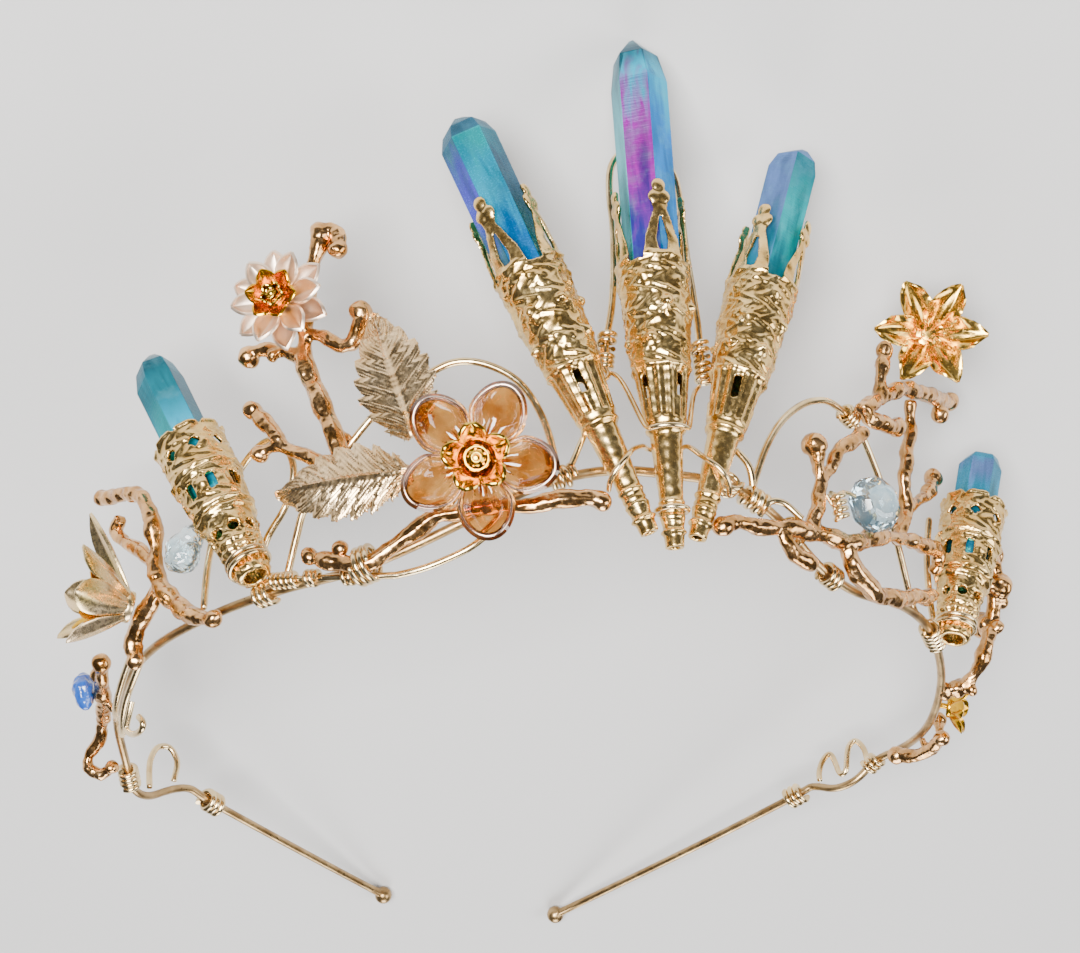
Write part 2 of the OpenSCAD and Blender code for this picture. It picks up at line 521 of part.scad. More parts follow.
module far_right_twig() {
    color(ROSE_GOLD) {
        bough([[72, 21, 8.4, 2.2], [70.6, 18, 9.6, 2.3], [72.2, 12.8, 9.8, 2.4], [73.4, 9, 9.6, 2.2],
            [73, 5.6, 9.2, 2.4], [74.6, 2.4, 8.2, 2.3], [76, 0.8, 6.6, 2.2], [76.6, 0.2, 5.4, 2]]);
        bough([[73.4, 9.2, 9.6, 2], [75.6, 11.6, 9, 2], [77.6, 12.8, 8.2, 1.8]]);
        bud([72.2, 21.4, 8.2], 2.8);
        bud([77.8, 13, 8.2], 2.6);
        bud([71.6, 15, 10], 2.8);
        post(wall(76.4, 0.4, 5.8), band_line, band_d);
    }
}
module rear_right_twig() {
    color(ROSE_GOLD) {
        limb([[71.8, -4, -1.6, 2], [71, -1, -2, 2.2], [69.2, 2, -1.6, 2.1], [67.4, 4.2, -0.4, 2.2]]);
        limb([[71, -1, -1.8, 1.9], [72.8, -1.6, 0.6, 1.8], [73.4, -1, 3.4, 1.7]]);
        translate([66.8, 4.8, 0]) sphere(d = 2.9);
        translate([73.5, -0.9, 3.8]) sphere(d = 2.4);
        translate([72, -4.4, -1.5]) sphere(d = 2.6);
        post([70.6, -0.4, -1.9], band_line, band_d);
    }
}

// A leaf with a toothed edge and a raised middle rib, lying from its root towards a point and
// facing a direction
module leaf(root, towards, face, held_at) {
    n = 10;
    x = unit(towards - root);
    y = unit(cross(face, x));
    z = cross(x, y);
    half = [for (i = [0:n]) leaf_w / 2 * pow(sin(180 * pow((i + 0.5) / (n + 1), 0.8)), 0.8)
        * (i % 2 == 0 ? 1 : 0.86)];
    top = [for (i = [0:n], s = [-1, 0, 1])
        let (u = i / n, h = (s == 0 ? 0.9 : 0) - 1.2 * pow(2 * u - 1, 2) * (u > 0.5 ? 1 : 0.4))
        root + x * leaf_l * u + y * s * half[i] + z * h];
    color(PALE_GOLD) {
        sheet([for (q = top) q + z * sheet_t / 2], [for (q = top) q - z * sheet_t / 2], 3);
        post(root + x * leaf_l * held_at + z * 0.6, left_arch_line, arch_d);
    }
}
module upper_leaf() {
    leaf(wall(-17.2, 6.3, 5.2), wall(-20.4, 25.4, 5.2),
        wall(-18, 0, 1) - wall(-18, 0, 0) + [0, 0, -0.2], 0.55);
}
module lower_leaf() {
    leaf(wall(-18, 1.2, 5.8), wall(-33, 3.4, 5.8), wall(-26, 0, 1) - wall(-26, 0, 0) + [0, 0, -0.2], 0.8);
}

// Flowers: each faces along a direction from its seat
DAISY = [wall(-29.6, 30.4, 5), [-0.35, -0.85, -0.4]];
GLASS = [wall(-10.7, 1.9, 5.4), [-0.1, -0.84, -0.54]];
LILY = [wall(44.5, 38.3, 5.6), [-0.12, -0.8, -0.5]];
LOTUS = [wall(-58.5, 0.6, 5.6), [-0.95, -0.3, 0.1]];
BLOSSOM = [[72.4, -10, 1.6], [0.9, -0.3, -0.35]];
module facing(f, up = 0, turn = 0) {
    aim(f[0] + unit(f[1]) * up, f[1], turn) children();
}
module daisy_outer_petals() {
    color(PALE_GOLD) facing(DAISY) {
        petals(6, 1.4, 8, 6.2, 3.5, 0.8, 0.7);
        translate([0, 0, 1.1]) petals(6, 1.4, 16, 5.7, 3.2, 0.8, 0.7, 30);
        hub(4, 2, 0.5);
    }
}
module daisy_inner_petals() {
    color(AMBER) facing(DAISY, 2.5) {
        petals(6, 1.2, 46, 3.6, 2.6, 0.4, 0.5, 15);
        hub(3.6, 0.8);
    }
}
module daisy_centre() {
    color(PALE_GOLD) facing(DAISY, 4.15) sphere(d = 2.2);
}
module glass_petals() {
    color(AMBER) facing(GLASS) {
        petals(5, 1.9, 14, 9.2, 8, 1.2, 1.1, 8, glass_t, ROUND);
        hub(5, 1.6, 0.2);
    }
    color(AMBER) post(GLASS[0], band_line, band_d);
}
module glass_flower_cup() {
    color(PALE_GOLD) facing(GLASS, 1.7) {
        petals(5, 1.3, 30, 3.9, 3.4, 0.3, 0.5, 44, sheet_t, ROUND);
        hub(3.6, 0.8);
    }
}
module glass_flower_centre() {
    color(PALE_GOLD) facing(GLASS, 3.95) sphere(d = 3.4);
}
module lily_petals() {
    color(BRASS) {
        facing(LILY) {
            petals(6, 1.5, 20, 7.2, 4.2, -1, 0.7, 23);
            hub(4, 1.2);
        }
        post(LILY[0], on_wall([[39.2, 25.4, 2.8], [43.6, 29.7, 2.8], [47.9, 32.2, 2.8]]), 2.4);
    }
}
module lily_stamens() {
    n = 5;
    color(BRASS) facing(LILY, 1.1) {
        hub(2.4, 0.4);
        for (k = [0:n - 1]) rotate(360 * k / n) translate([0.85, 0, 0]) rotate([0, 16, 0]) {
            cylinder(d = 0.5, h = 3.2);
            translate([0, 0, 3.2]) sphere(d = 0.9);
        }
    }
}
// [degrees round, length, width, degrees lifted]
LOTUS_PETALS = [[0, 9.5, 4.6, 42], [60, 10, 4.8, 48], [120, 10.5, 5, 50], [180, 15, 4.8, 30],
    [240, 10.5, 5, 50], [300, 10, 4.8, 48]];
module lotus_outer_petals() {
    color(PALE_GOLD) facing(LOTUS) {
        for (r = LOTUS_PETALS) rotate(r[0]) translate([1.9, 0, 0]) rotate([0, -r[3], 0])
            petal(r[1], r[2], 1.2, 0.8, sheet_t, STRAP);
        hub(4.8, 1.4);
    }
}
module lotus_inner_petals() {
    color(AMBER) facing(LOTUS, 1.35) {
        petals(5, 1.3, 64, 5.6, 2.8, 0.4, 0.5, 30);
        hub(3.6, 0.9);
    }
}
module lotus_centre() {
    color(PALE_GOLD) facing(LOTUS, 3) sphere(d = 2.2);
}
module small_blossom() {
    color(BRASS) {
        facing(BLOSSOM) {
            petals(6, 1.4, 34, 4, 2.6, 0.5, 0.4);
            hub(3.8, 1);
            translate([0, 0, 1]) sphere(d = 2);
        }
        post(BLOSSOM[0], band_line, band_d);
    }
}

// Stones: two rolled chips and one cut stone with a table and eight facets
module clear_stone() {
    color(ICE) translate(wall(-47.9, 2.6, 4.5)) rotate([10, 35, -30]) hull() {
        scale([1, 0.8, 1]) sphere(d = 6.2, $fn = 10);
        translate([0, 0, 3.2]) sphere(d = 3.4, $fn = 8);
    }
}
module faceted_stone() {
    color(ICE) aim(wall(37.7, 6.1, 4.8), [0.3, -0.8, -0.3]) hull() {
        translate([0, 0, -2.6]) cylinder(d = 3.8, h = 0.02, $fn = 8);
        translate([0, 0, -0.4]) cylinder(d = 8.8, h = 1.4, $fn = 8);
        translate([0, 0, 3]) cylinder(d = 4.8, h = 0.02, $fn = 8);
    }
}
module opal_stone() {
    color(ICE) translate([-72.75, -9.4, 4.2]) rotate([0, -12, 0]) hull() {
        scale([0.7, 1, 1]) sphere(d = 5.6, $fn = 10);
        translate([0, 0, -2.6]) sphere(d = 2.4, $fn = 8);
    }
}
module stone_post() {
    color(BRASS) sleeve(wall(31.4, 5.4, 4.9), wall(32.6, 0.9, 5.1), 0.6, 5);
}

// Coils of binding wire
module band_coil(a, l, turns, d = coil_d) {
    i = band_step(a);
    w = tangent(band_line, i) * l / 2;
    color(BRASS) sleeve(band_line[i] - w, band_line[i] + w, band_d + 2 * gap, turns, d);
}
// A coil that binds the band to a twig beside it: b is the twig's middle and d its thickness there
module binding(a, b, d, turns) {
    p = band_at(a);
    w = tangent(band_line, band_step(a)) * coil_d * 1.1;
    reach = norm(b - p) / 2 + d / 2 + gap + coil_d / 2;
    middle = (p + b) / 2;
    across = sqrt(reach * (d / 2 + gap + coil_d));
    color(BRASS) wire(winding(middle - w * turns / 2, middle + w * turns / 2, reach, across, turns,
        b - p), coil_d, w);
}
module left_arch_coil() {
    band_coil(-41, 4, 4);
}
module low_twig_coil() {
    binding(-24.6, wall(-24.6, -7.6, 2.4), 2.4, 3);
}
module right_arch_coil() {
    band_coil(19.4, 3.4, 4);
}
module right_twig_coil() {
    band_coil(34.5, 3.6, 4);
}
module left_rear_coil() {
    band_coil(-116, 4.6, 4, end_coil_d);
}
module right_rear_coil() {
    band_coil(113.5, 4.6, 4, end_coil_d);
}
module upper_right_coil() {
    color(BRASS) sleeve(wall(38, 22, -0.4), wall(35.6, 22.3, -0.2), arch_d + gap, 4);
}
module tall_arch_left_collar() {
    color(BRASS) sleeve(wall(4.35, 24.6, -1.5), wall(4.0, 21.6, -1.5), arch_d, 3);
}
module tall_arch_right_collar() {
    color(BRASS) sleeve(wall(15.1, 25.4, -1.5), wall(15.4, 22.4, -1.5), arch_d, 3);
}
module rear_left_loops() {
    color(BRASS) wire(curve([[-63.9, 16.6, -0.8], [-64.3, 17, 2.6], [-64.3, 17.6, 5.4], [-63.4, 18.6, 8.1],
        [-61.4, 19.8, 8.6], [-60, 20.6, 6.3], [-60.2, 20.8, 3.8], [-60.4, 21, 2.6]], 3),
        arch_d, [0.7, -0.7, 0]);
}
module rear_right_loops() {
    color(BRASS) wire(curve([[64.9, 15.2, 3.6], [65.2, 16.5, 7], [64.2, 17.6, 9.4], [62.8, 18, 8.2],
        [62.2, 18.2, 6], [61.8, 18.8, 3.8], [60.9, 19.8, 3.6], [60.6, 20.6, 6.4], [60, 21, 8.4],
        [58.6, 21.4, 7.2], [57.6, 21.6, 5], [57.3, 21.3, 2.95]], 3), arch_d, [0.7, 0.7, 0]);
}

// Height of the lowest rest point below the worn origin, and the place of the box's middle
rest_lift = 27.3;
rest_shift = [-2.32, -23.01];
module laid() {
    translate([rest_shift.x, rest_shift.y, rest_lift])
        rotate([0, rest_roll, 0]) rotate([rest_pitch, 0, 0]) children();
}

laid() headband();
laid() centre_crystal();
laid() inner_left_crystal();
laid() inner_right_crystal();
laid() far_left_crystal();
laid() far_right_crystal();
laid() centre_cone();
laid() inner_left_cone();
laid() inner_right_cone();
laid() far_left_cone();
laid() far_right_cone();
laid() tall_arch();
laid() left_arch();
laid() small_left_arch();
laid() right_arch();
laid() right_cross_wire();
laid() right_upright_wire();
laid() lower_wire();
laid() neck_tie();
laid() foot_tie();
laid() foot_ring();
laid() tall_twig();
laid() left_twig();
laid() low_twig();
laid() right_twig();
laid() upper_right_twig();
laid() stem_twig();
laid() hooked_twig();
laid() rear_left_twig();
laid() far_right_twig();
laid() rear_right_twig();
laid() upper_leaf();
laid() lower_leaf();
laid() daisy_outer_petals();
laid() daisy_inner_petals();
laid() daisy_centre();
laid() glass_petals();
laid() glass_flower_cup();
laid() glass_flower_centre();
laid() lily_petals();
laid() lily_stamens();
laid() lotus_outer_petals();
laid() lotus_inner_petals();
laid() lotus_centre();
laid() small_blossom();
laid() clear_stone();
laid() faceted_stone();
laid() opal_stone();
laid() stone_post();
laid() left_arch_coil();
laid() low_twig_coil();
laid() right_arch_coil();
laid() right_twig_coil();
laid() upper_right_coil();
laid() tall_arch_left_collar();
laid() tall_arch_right_collar();
laid() left_rear_coil();
laid() right_rear_coil();
laid() rear_left_loops();
laid() rear_right_loops();
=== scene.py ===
"""Dresses the crystal crown: bright wire, cast twigs, pierced cones, coated quartz, leaves, flowers and
stones.

Pieces are modelled in millimetres at their own seat, as the crown is worn, and one matrix then sets
each mesh in place where the crown lies. The file goes from the wire that carries everything to the small
stones.
"""

import math

import bpy
import numpy as np
from mathutils import Matrix, Vector


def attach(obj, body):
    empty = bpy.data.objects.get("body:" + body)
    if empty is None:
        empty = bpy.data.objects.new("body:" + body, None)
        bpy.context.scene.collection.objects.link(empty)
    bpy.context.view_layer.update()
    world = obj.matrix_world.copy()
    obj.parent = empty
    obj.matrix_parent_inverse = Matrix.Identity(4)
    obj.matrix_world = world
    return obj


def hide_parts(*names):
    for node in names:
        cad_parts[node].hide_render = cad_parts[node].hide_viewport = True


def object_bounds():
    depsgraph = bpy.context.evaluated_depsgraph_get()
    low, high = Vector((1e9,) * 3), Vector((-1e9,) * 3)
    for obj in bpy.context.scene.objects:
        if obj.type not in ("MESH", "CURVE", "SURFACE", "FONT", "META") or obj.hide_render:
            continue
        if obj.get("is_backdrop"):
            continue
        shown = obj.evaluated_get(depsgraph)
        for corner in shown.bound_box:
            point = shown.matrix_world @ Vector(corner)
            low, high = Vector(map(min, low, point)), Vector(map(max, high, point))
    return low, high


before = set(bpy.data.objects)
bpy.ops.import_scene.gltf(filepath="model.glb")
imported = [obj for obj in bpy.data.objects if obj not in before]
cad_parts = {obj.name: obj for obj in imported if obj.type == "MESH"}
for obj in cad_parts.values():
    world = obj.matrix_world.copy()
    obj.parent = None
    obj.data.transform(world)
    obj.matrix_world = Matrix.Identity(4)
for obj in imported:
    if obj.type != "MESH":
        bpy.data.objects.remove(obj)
cad_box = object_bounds()
bpy.ops.object.select_all(action="DESELECT")

# The way the crown lies: it is described as worn, x to the right, y to the back of the head and z up, in
# millimetres. Laid on its back it rests on the centre crystal's tip and the two ends of the headband.
MM = 0.001
REST_PITCH = math.radians(203.15)
REST_ROLL = math.radians(1.64)
REST_PLACE = Vector((-2.32, -23.01, 27.3))
LAID = (Matrix.Scale(MM, 4) @ Matrix.Translation(REST_PLACE) @ Matrix.Rotation(REST_ROLL, 4, "Y")
        @ Matrix.Rotation(REST_PITCH, 4, "X"))
BAND_RX = 67.5
BAND_RY = 72.5
FLARE = 0.3


def wall(degrees, height, out):
    """A place on the flaring wall: degrees from the front, height above the band, distance out."""
    a = math.radians(degrees)
    o = out + FLARE * height
    return Vector(((BAND_RX + o) * math.sin(a), -(BAND_RY + o) * math.cos(a), height))


def aim(point, direction, turn=0.0):
    """The matrix that stands a piece on a point, with its z axis along a direction."""
    d = Vector(direction).normalized()
    return (LAID @ Matrix.Translation(point) @ Matrix.Rotation(math.atan2(d.y, d.x), 4, "Z")
            @ Matrix.Rotation(math.acos(d.z), 4, "Y") @ Matrix.Rotation(math.radians(turn), 4, "Z"))


# The camera stands on the crystals' side, about 57 degrees above the surface, and is turned over, so that
# the crystals point up in the picture.
CAMERA_TARGET = Vector((-3.5, -64, 9))
CAMERA_DISTANCE = 240
CAMERA_BELOW = math.radians(36)
CAMERA_SIDE = math.radians(-8)
CAMERA_TILT = math.radians(-3.5)
CAMERA_LENS = 56
back = Vector((math.sin(CAMERA_SIDE) * math.cos(CAMERA_BELOW),
               -math.cos(CAMERA_SIDE) * math.cos(CAMERA_BELOW), -math.sin(CAMERA_BELOW)))
right = (-back).cross(Vector((0, 0, 1))).normalized()
upright = right.cross(-back)
across = math.cos(CAMERA_TILT) * right + math.sin(CAMERA_TILT) * upright
upright = -math.sin(CAMERA_TILT) * right + math.cos(CAMERA_TILT) * upright
turn = Matrix((across, upright, back)).transposed().to_4x4()
bpy.ops.object.camera_add()
camera = bpy.context.object
rest_turn = Matrix.Rotation(REST_ROLL, 4, "Y") @ Matrix.Rotation(REST_PITCH, 4, "X")
camera.matrix_world = Matrix.Translation(LAID @ (CAMERA_TARGET + back * CAMERA_DISTANCE)) @ rest_turn @ turn
camera.data.lens = CAMERA_LENS
camera.data.clip_start = 0.01
bpy.context.scene.camera = camera

# A plain pale floor under soft studio lights: a strong key, a fill on the other side and a wide strip
# behind. The room round them is dim, so that the metal keeps dark tones beside its highlights.
FLOOR_SIZE = 4.0
FLOOR_COLOUR = (0.55, 0.54, 0.53, 1)
WORLD_COLOUR = (0.09, 0.095, 0.105, 1)
# name, place, size, watts
LIGHTS = [("key", (-0.16, 0.34, 0.56), 0.30, 12.0), ("fill", (0.55, 0.10, 0.45), 0.40, 4.0),
          ("strip", (0.05, -0.55, 0.40), 0.40, 5.0)]
bpy.ops.mesh.primitive_plane_add(size=FLOOR_SIZE)
floor = bpy.context.object
floor.name = "floor"
floor_paint = bpy.data.materials.new("pale_floor")
floor_paint.use_nodes = True
floor_shader = floor_paint.node_tree.nodes["Principled BSDF"]
floor_shader.inputs["Base Color"].default_value = FLOOR_COLOUR
floor_shader.inputs["Roughness"].default_value = 0.85
floor.data.materials.append(floor_paint)
floor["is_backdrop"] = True
for name, place, size, watts in LIGHTS:
    bpy.ops.object.light_add(type="AREA", location=place)
    lamp = bpy.context.object
    lamp.name = name
    lamp.data.size = size
    lamp.data.energy = watts
    lamp.rotation_euler = (-Vector(place)).to_track_quat("-Z", "Y").to_euler()
world = bpy.data.worlds.new("studio")
bpy.context.scene.world = world
world.use_nodes = True
world.node_tree.nodes["Background"].inputs["Color"].default_value = WORLD_COLOUR
bpy.ops.object.select_all(action="DESELECT")

# The wires: the headband, the arches and braces on it, and the thin ties round the cones are drawn brass
# wire, bent by hand. Each keeps its solid's line, and is made round and smooth.
# node, thickness, smoothing levels, fewer where the solid is fine already
WIRES = [("headband", 1.4, 1), ("tall_arch", 1.1, 2), ("left_arch", 1.1, 2), ("small_left_arch", 1.1, 2),
         ("right_arch", 1.1, 2), ("right_cross_wire", 1.1, 2), ("right_upright_wire", 1.1, 2),
         ("lower_wire", 1.0, 2), ("neck_tie", 0.8, 2), ("foot_tie", 0.8, 2), ("foot_ring", 0.8, 0),
         ("low_twig_coil", 0.8, 2), ("rear_left_loops", 1.1, 2), ("rear_right_loops", 1.1, 2)]
# A six-sided tube loses this share of its thickness on each side when it is smoothed
SMOOTHING_LOSS = 0.08


def select_only(*pieces):
    """Selects these pieces alone, the first one active."""
    bpy.ops.object.select_all(action="DESELECT")
    for piece in pieces:
        piece.select_set(True)
    bpy.context.view_layer.objects.active = pieces[0]


def apply(piece, kind, **settings):
    """Adds one modifier to a piece and applies it."""
    select_only(piece)
    modifier = piece.modifiers.new(kind.lower(), kind)
    for key, value in settings.items():
        setattr(modifier, key, value)
    bpy.ops.object.modifier_apply(modifier=modifier.name)


def smooth(piece, degrees):
    """Shades a piece smooth, except across edges sharper than this."""
    select_only(piece)
    bpy.ops.object.shade_smooth_by_angle(angle=math.radians(degrees))


def copy_of(node, name):
    """A merged copy of a solid, as a new piece of its own."""
    piece = bpy.data.objects.new(name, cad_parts[node].data.copy())
    bpy.context.collection.objects.link(piece)
    select_only(piece)
    bpy.ops.mesh.customdata_custom_splitnormals_clear()
    bpy.ops.object.mode_set(mode="EDIT")
    bpy.ops.mesh.select_all(action="SELECT")
    bpy.ops.mesh.remove_doubles(threshold=0.002 * MM)
    bpy.ops.object.mode_set(mode="OBJECT")
    return piece


def quads(piece):
    """Joins a piece's triangles in pairs."""
    select_only(piece)
    bpy.ops.object.mode_set(mode="EDIT")
    bpy.ops.mesh.select_all(action="SELECT")
    bpy.ops.mesh.tris_convert_to_quads(face_threshold=math.radians(60), shape_threshold=math.radians(60))
    bpy.ops.object.mode_set(mode="OBJECT")


def finish_piece(piece, material, slot, *nodes):
    """Gives a piece its material, and says what it rides on and stands for. Its slot is not used."""
    piece.data.materials.clear()
    piece.data.materials.append(material)
    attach(piece, "root")
    if nodes:
        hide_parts(*nodes)


def linked(tree, kind, settings, **sources):
    """Adds a node, sets its properties, and links or sets its sockets, by name or by number as s0, s6."""
    made = tree.nodes.new(kind)
    for key, value in settings.items():
        setattr(made, key, value)
    for key, value in sources.items():
        socket = made.inputs[int(key[1:])] if key[1:].isdigit() else made.inputs[key.replace("_", " ")]
        if isinstance(value, bpy.types.NodeSocket):
            tree.links.new(value, socket)
        else:
            socket.default_value = value
    return made


def noise(tree, place, scale, detail, **more):
    """A cloudy value that runs through the piece."""
    made = linked(tree, "ShaderNodeTexNoise", {}, Vector=place, Scale=scale, Detail=detail, **more)
    return made.outputs["Fac"]


def spread(tree, value, low, high, to_low=0.0, to_high=1.0):
    """Stretches the part of a value from low to high over another range."""
    return linked(tree, "ShaderNodeMapRange", {}, Value=value, From_Min=low, From_Max=high, To_Min=to_low,
                  To_Max=to_high).outputs[0]


def mixed(tree, share, first, second, blend="MIX"):
    """Mixes two colours, or multiplies them."""
    return linked(tree, "ShaderNodeMix", {"data_type": "RGBA", "blend_type": blend}, s0=share, s6=first,
                  s7=second).outputs[2]


def two_tones(tree, value, low, dark, high, light):
    """A colour that goes from dark to light as a value goes from low to high."""
    made = linked(tree, "ShaderNodeValToRGB", {}, Fac=value)
    for stop, place, tone in zip(made.color_ramp.elements, (low, high), (dark, light)):
        stop.position = place
        stop.color = (*tone, 1)
    return made.outputs["Color"]


def bumped(tree, shader, height, strength, depth):
    """Gives a shader's surface fine dents, this deep in millimetres."""
    dents = linked(tree, "ShaderNodeBump", {}, Height=height, Strength=strength, Distance=depth * MM)
    tree.links.new(dents.outputs["Normal"], shader.inputs["Normal"])


def new_material(name):
    """A new material, with its tree, its shader and the node that tells a point's place."""
    material = bpy.data.materials.new(name)
    material.use_nodes = True
    tree = material.node_tree
    return material, tree, tree.nodes["Principled BSDF"], tree.nodes.new("ShaderNodeTexCoord")


def set_sockets(shader, **values):
    """Sets the shader's own sockets by name."""
    for key, value in values.items():
        shader.inputs[key.replace("_", " ")].default_value = value


def metal(name, light, dark, rough, grain=1600, bump=0.12, patch=260, crevice_shade=0.5):
    """Brass with a patchy colour, painted shade in its hollows, and a fine grain that its gloss follows."""
    material, tree, shader, where = new_material(name)
    tint = two_tones(tree, noise(tree, where.outputs["Object"], patch, 5), 0.34, dark, 0.66, light)
    shape = tree.nodes.new("ShaderNodeNewGeometry")
    # Painted shade: where the surface curves inward, in creases and hollows, the colour is darkened, most in
    # the deepest hollows, as if shade fell there.
    hollow = spread(tree, shape.outputs["Pointiness"], 0.40, 0.52, 1.0 - crevice_shade)
    tree.links.new(mixed(tree, 1.0, tint, hollow, "MULTIPLY"), shader.inputs["Base Color"])
    fine = noise(tree, where.outputs["Object"], grain, 4)
    tree.links.new(spread(tree, fine, 0.3, 0.7, *rough), shader.inputs["Roughness"])
    bumped(tree, shader, fine, bump, 0.1)
    set_sockets(shader, Metallic=1.0)
    return material


dull_wire = metal("dull_band_wire", (0.56, 0.38, 0.18), (0.28, 0.17, 0.07), rough=(0.26, 0.42))
bright_wire = metal("bright_brass_wire", (0.95, 0.74, 0.42), (0.62, 0.43, 0.20), rough=(0.14, 0.28))
for node, thickness, levels in WIRES:
    piece = copy_of(node, node + "_drawn")
    if levels:
        quads(piece)
        apply(piece, "SUBSURF", levels=levels, render_levels=levels)
        apply(piece, "DISPLACE", strength=SMOOTHING_LOSS * thickness * MM, mid_level=0)
    smooth(piece, 60)
    if node == "headband":
        finish_piece(piece, dull_wire, "band_wire", node)
    else:
        finish_piece(piece, bright_wire, "bright_wire", node)

# The coils: soft wire wound round the headband, the arches and a post, turn beside turn, to bind what lies
# there. Each is a real helix of round wire. It takes its line from its solid, a plain sleeve of the same
# size.
GAP = 0.15
COIL_STEPS = 24
WIRE_SEGMENTS = 10
# node, thickness of what it is wound on, turns, thickness of its wire
COILS = [("left_arch_coil", 1.7, 4, 0.8), ("right_arch_coil", 1.7, 4, 0.8), ("right_twig_coil", 1.7, 4, 0.8),
         ("upper_right_coil", 1.25, 4, 0.8), ("tall_arch_left_collar", 1.1, 3, 0.8),
         ("tall_arch_right_collar", 1.1, 3, 0.8), ("left_rear_coil", 1.7, 4, 1.1),
         ("right_rear_coil", 1.7, 4, 1.1), ("stone_post", 0.6, 5, 0.8)]


def sleeve_line(node):
    """A round sleeve's middle, axis and length in metres. Its spread along the axis is unlike the rest."""
    points = np.array([v.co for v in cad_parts[node].data.vertices])
    middle = (points.min(0) + points.max(0)) / 2
    spreads, axes = np.linalg.eigh(np.cov((points - points.mean(0)).T))
    odd = 2 if spreads[2] - spreads[1] > spreads[1] - spreads[0] else 0
    axis = Vector(axes[:, odd])
    reach = points @ axes[:, odd]
    return Vector(middle), axis, reach.max() - reach.min()


for node, core_d, turns, wire_d in COILS:
    middle, axis, reach = sleeve_line(node)
    r = core_d / 2 + GAP + wire_d / 2
    pitch = (reach / MM - wire_d) / (turns - 1)
    bpy.ops.mesh.primitive_circle_add(vertices=WIRE_SEGMENTS, radius=wire_d / 2,
                                      location=(r, 0, -pitch * (turns - 1) / 2),
                                      rotation=(math.pi / 2, 0, 0))
    coil = bpy.context.object
    coil.name = node + "_turns"
    bpy.ops.object.transform_apply(location=True, rotation=True, scale=True)
    apply(coil, "SCREW", axis="Z", steps=COIL_STEPS, render_steps=COIL_STEPS, iterations=turns - 1,
          screw_offset=pitch)
    bpy.ops.object.mode_set(mode="EDIT")
    bpy.ops.mesh.select_all(action="SELECT")
    bpy.ops.mesh.fill_holes(sides=WIRE_SEGMENTS)
    bpy.ops.mesh.normals_make_consistent(inside=False)
    bpy.ops.object.mode_set(mode="OBJECT")
    coil.data.transform(Matrix.Translation(middle) @ axis.to_track_quat("Z", "Y").to_matrix().to_4x4()
                        @ Matrix.Scale(MM, 4))
    smooth(coil, 50)
    finish_piece(coil, bright_wire, "bright_wire", node)

# The windings and loose ends: thin soft wire that ties the arches' feet, the cones' necks and the twigs to
# the headband. Each is one strand, wound round what it holds, with its ends left as they were snipped. The
# wound post of the cut stone has a core, soldered to the twig and to the stone.
STRAND_STEPS = 12
BAND_WRAP_R = 1.35
BAND_CORNERS = 12


def winding(start, end, r, turns):
    """Places on a helix round the line from start to end."""
    axis = (end - start).normalized()
    side = axis.orthogonal().normalized()
    other = axis.cross(side)
    count = round(turns * STRAND_STEPS)
    places = []
    for k in range(count + 1):
        a = 2 * math.pi * k / STRAND_STEPS
        places.append(start.lerp(end, k / count) + r * (math.cos(a) * side + math.sin(a) * other))
    return places


def strand(name, places, thick):
    """One bent wire through places in millimetres, as worn, with closed ends."""
    bpy.ops.curve.primitive_nurbs_path_add()
    path = bpy.context.object
    path.name = name
    line = path.data.splines[0]
    line.points.add(max(0, len(places) - len(line.points)))
    for point, place in zip(line.points, places):
        point.co = (*place, 1)
    line.order_u = 4
    line.use_endpoint_u = True
    path.data.resolution_u = 4
    path.data.bevel_depth = thick / 2
    path.data.bevel_resolution = 3
    path.data.use_fill_caps = True
    bpy.ops.object.convert(target="MESH")
    piece = bpy.context.object
    piece.data.transform(LAID)
    smooth(piece, 60)
    finish_piece(piece, bright_wire, "bright_wire")


def on_band(place, length):
    """The two ends of a winding of this length on the headband, at its nearest point to a place as worn."""
    corners = [LAID.inverted() @ v.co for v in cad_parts["headband"].data.vertices]
    corners = np.unique(np.round(corners, 2), axis=0)
    near = corners[np.argsort(np.linalg.norm(corners - np.array(place), axis=1))[:BAND_CORNERS]]
    middle = near.mean(0)
    axis = np.linalg.eigh(np.cov((near - middle).T))[1][:, 2]
    return Vector(middle - axis * length / 2), Vector(middle + axis * length / 2)


strand("neck_left_knot", winding(wall(4.1, 21.2, -1.5), wall(3.9, 19.0, -1.5), 1.0, 3)
       + [wall(4.4, 17.4, -0.6), wall(3.7, 16.5, 0), wall(3.0, 15.6, 0), wall(2.4, 14.4, 0)], 0.8)
strand("neck_right_knot", winding(wall(15.5, 22.4, -1.5), wall(15.9, 18.8, -1.5), 1.0, 4)
       + [wall(15.4, 18.4, -0.4), wall(16.8, 18.7, 0), wall(18.2, 18.1, 0)], 0.8)
right_foot = on_band((25.6, -68.9, 3.9), 3.6)
strand("right_foot_winding", winding(*right_foot, BAND_WRAP_R, 3), 1.1)
strand("right_foot_end", [wall(19.4, 8.8, 0.6), wall(20.2, 7.6, 1.2), wall(20.7, 6.6, 1.6),
                          wall(21.2, 5.4, 1.6), wall(21.6, 4.0, 1.2)], 1.1)
far_end = max(right_foot, key=lambda end: end.x)
strand("right_foot_tail", [far_end + Vector((-0.6, 0.4, -1.3)), far_end + Vector((0, -1.0, -0.9)),
                           far_end + Vector((0.5, -1.5, 0.2)), wall(25.8, 2.4, 2.4), wall(26.7, 1.0, 2.9),
                           wall(27.4, 0.0, 3.6)], 1.0)
strand("right_twig_binding", winding(wall(26.8, -0.9, 1.6), wall(28.6, -0.5, 1.6), 1.75, 2), 0.8)
strand("left_foot_winding", winding(*on_band((-1.7, -73.3, 2.8), 3.2), BAND_WRAP_R, 3), 0.9)
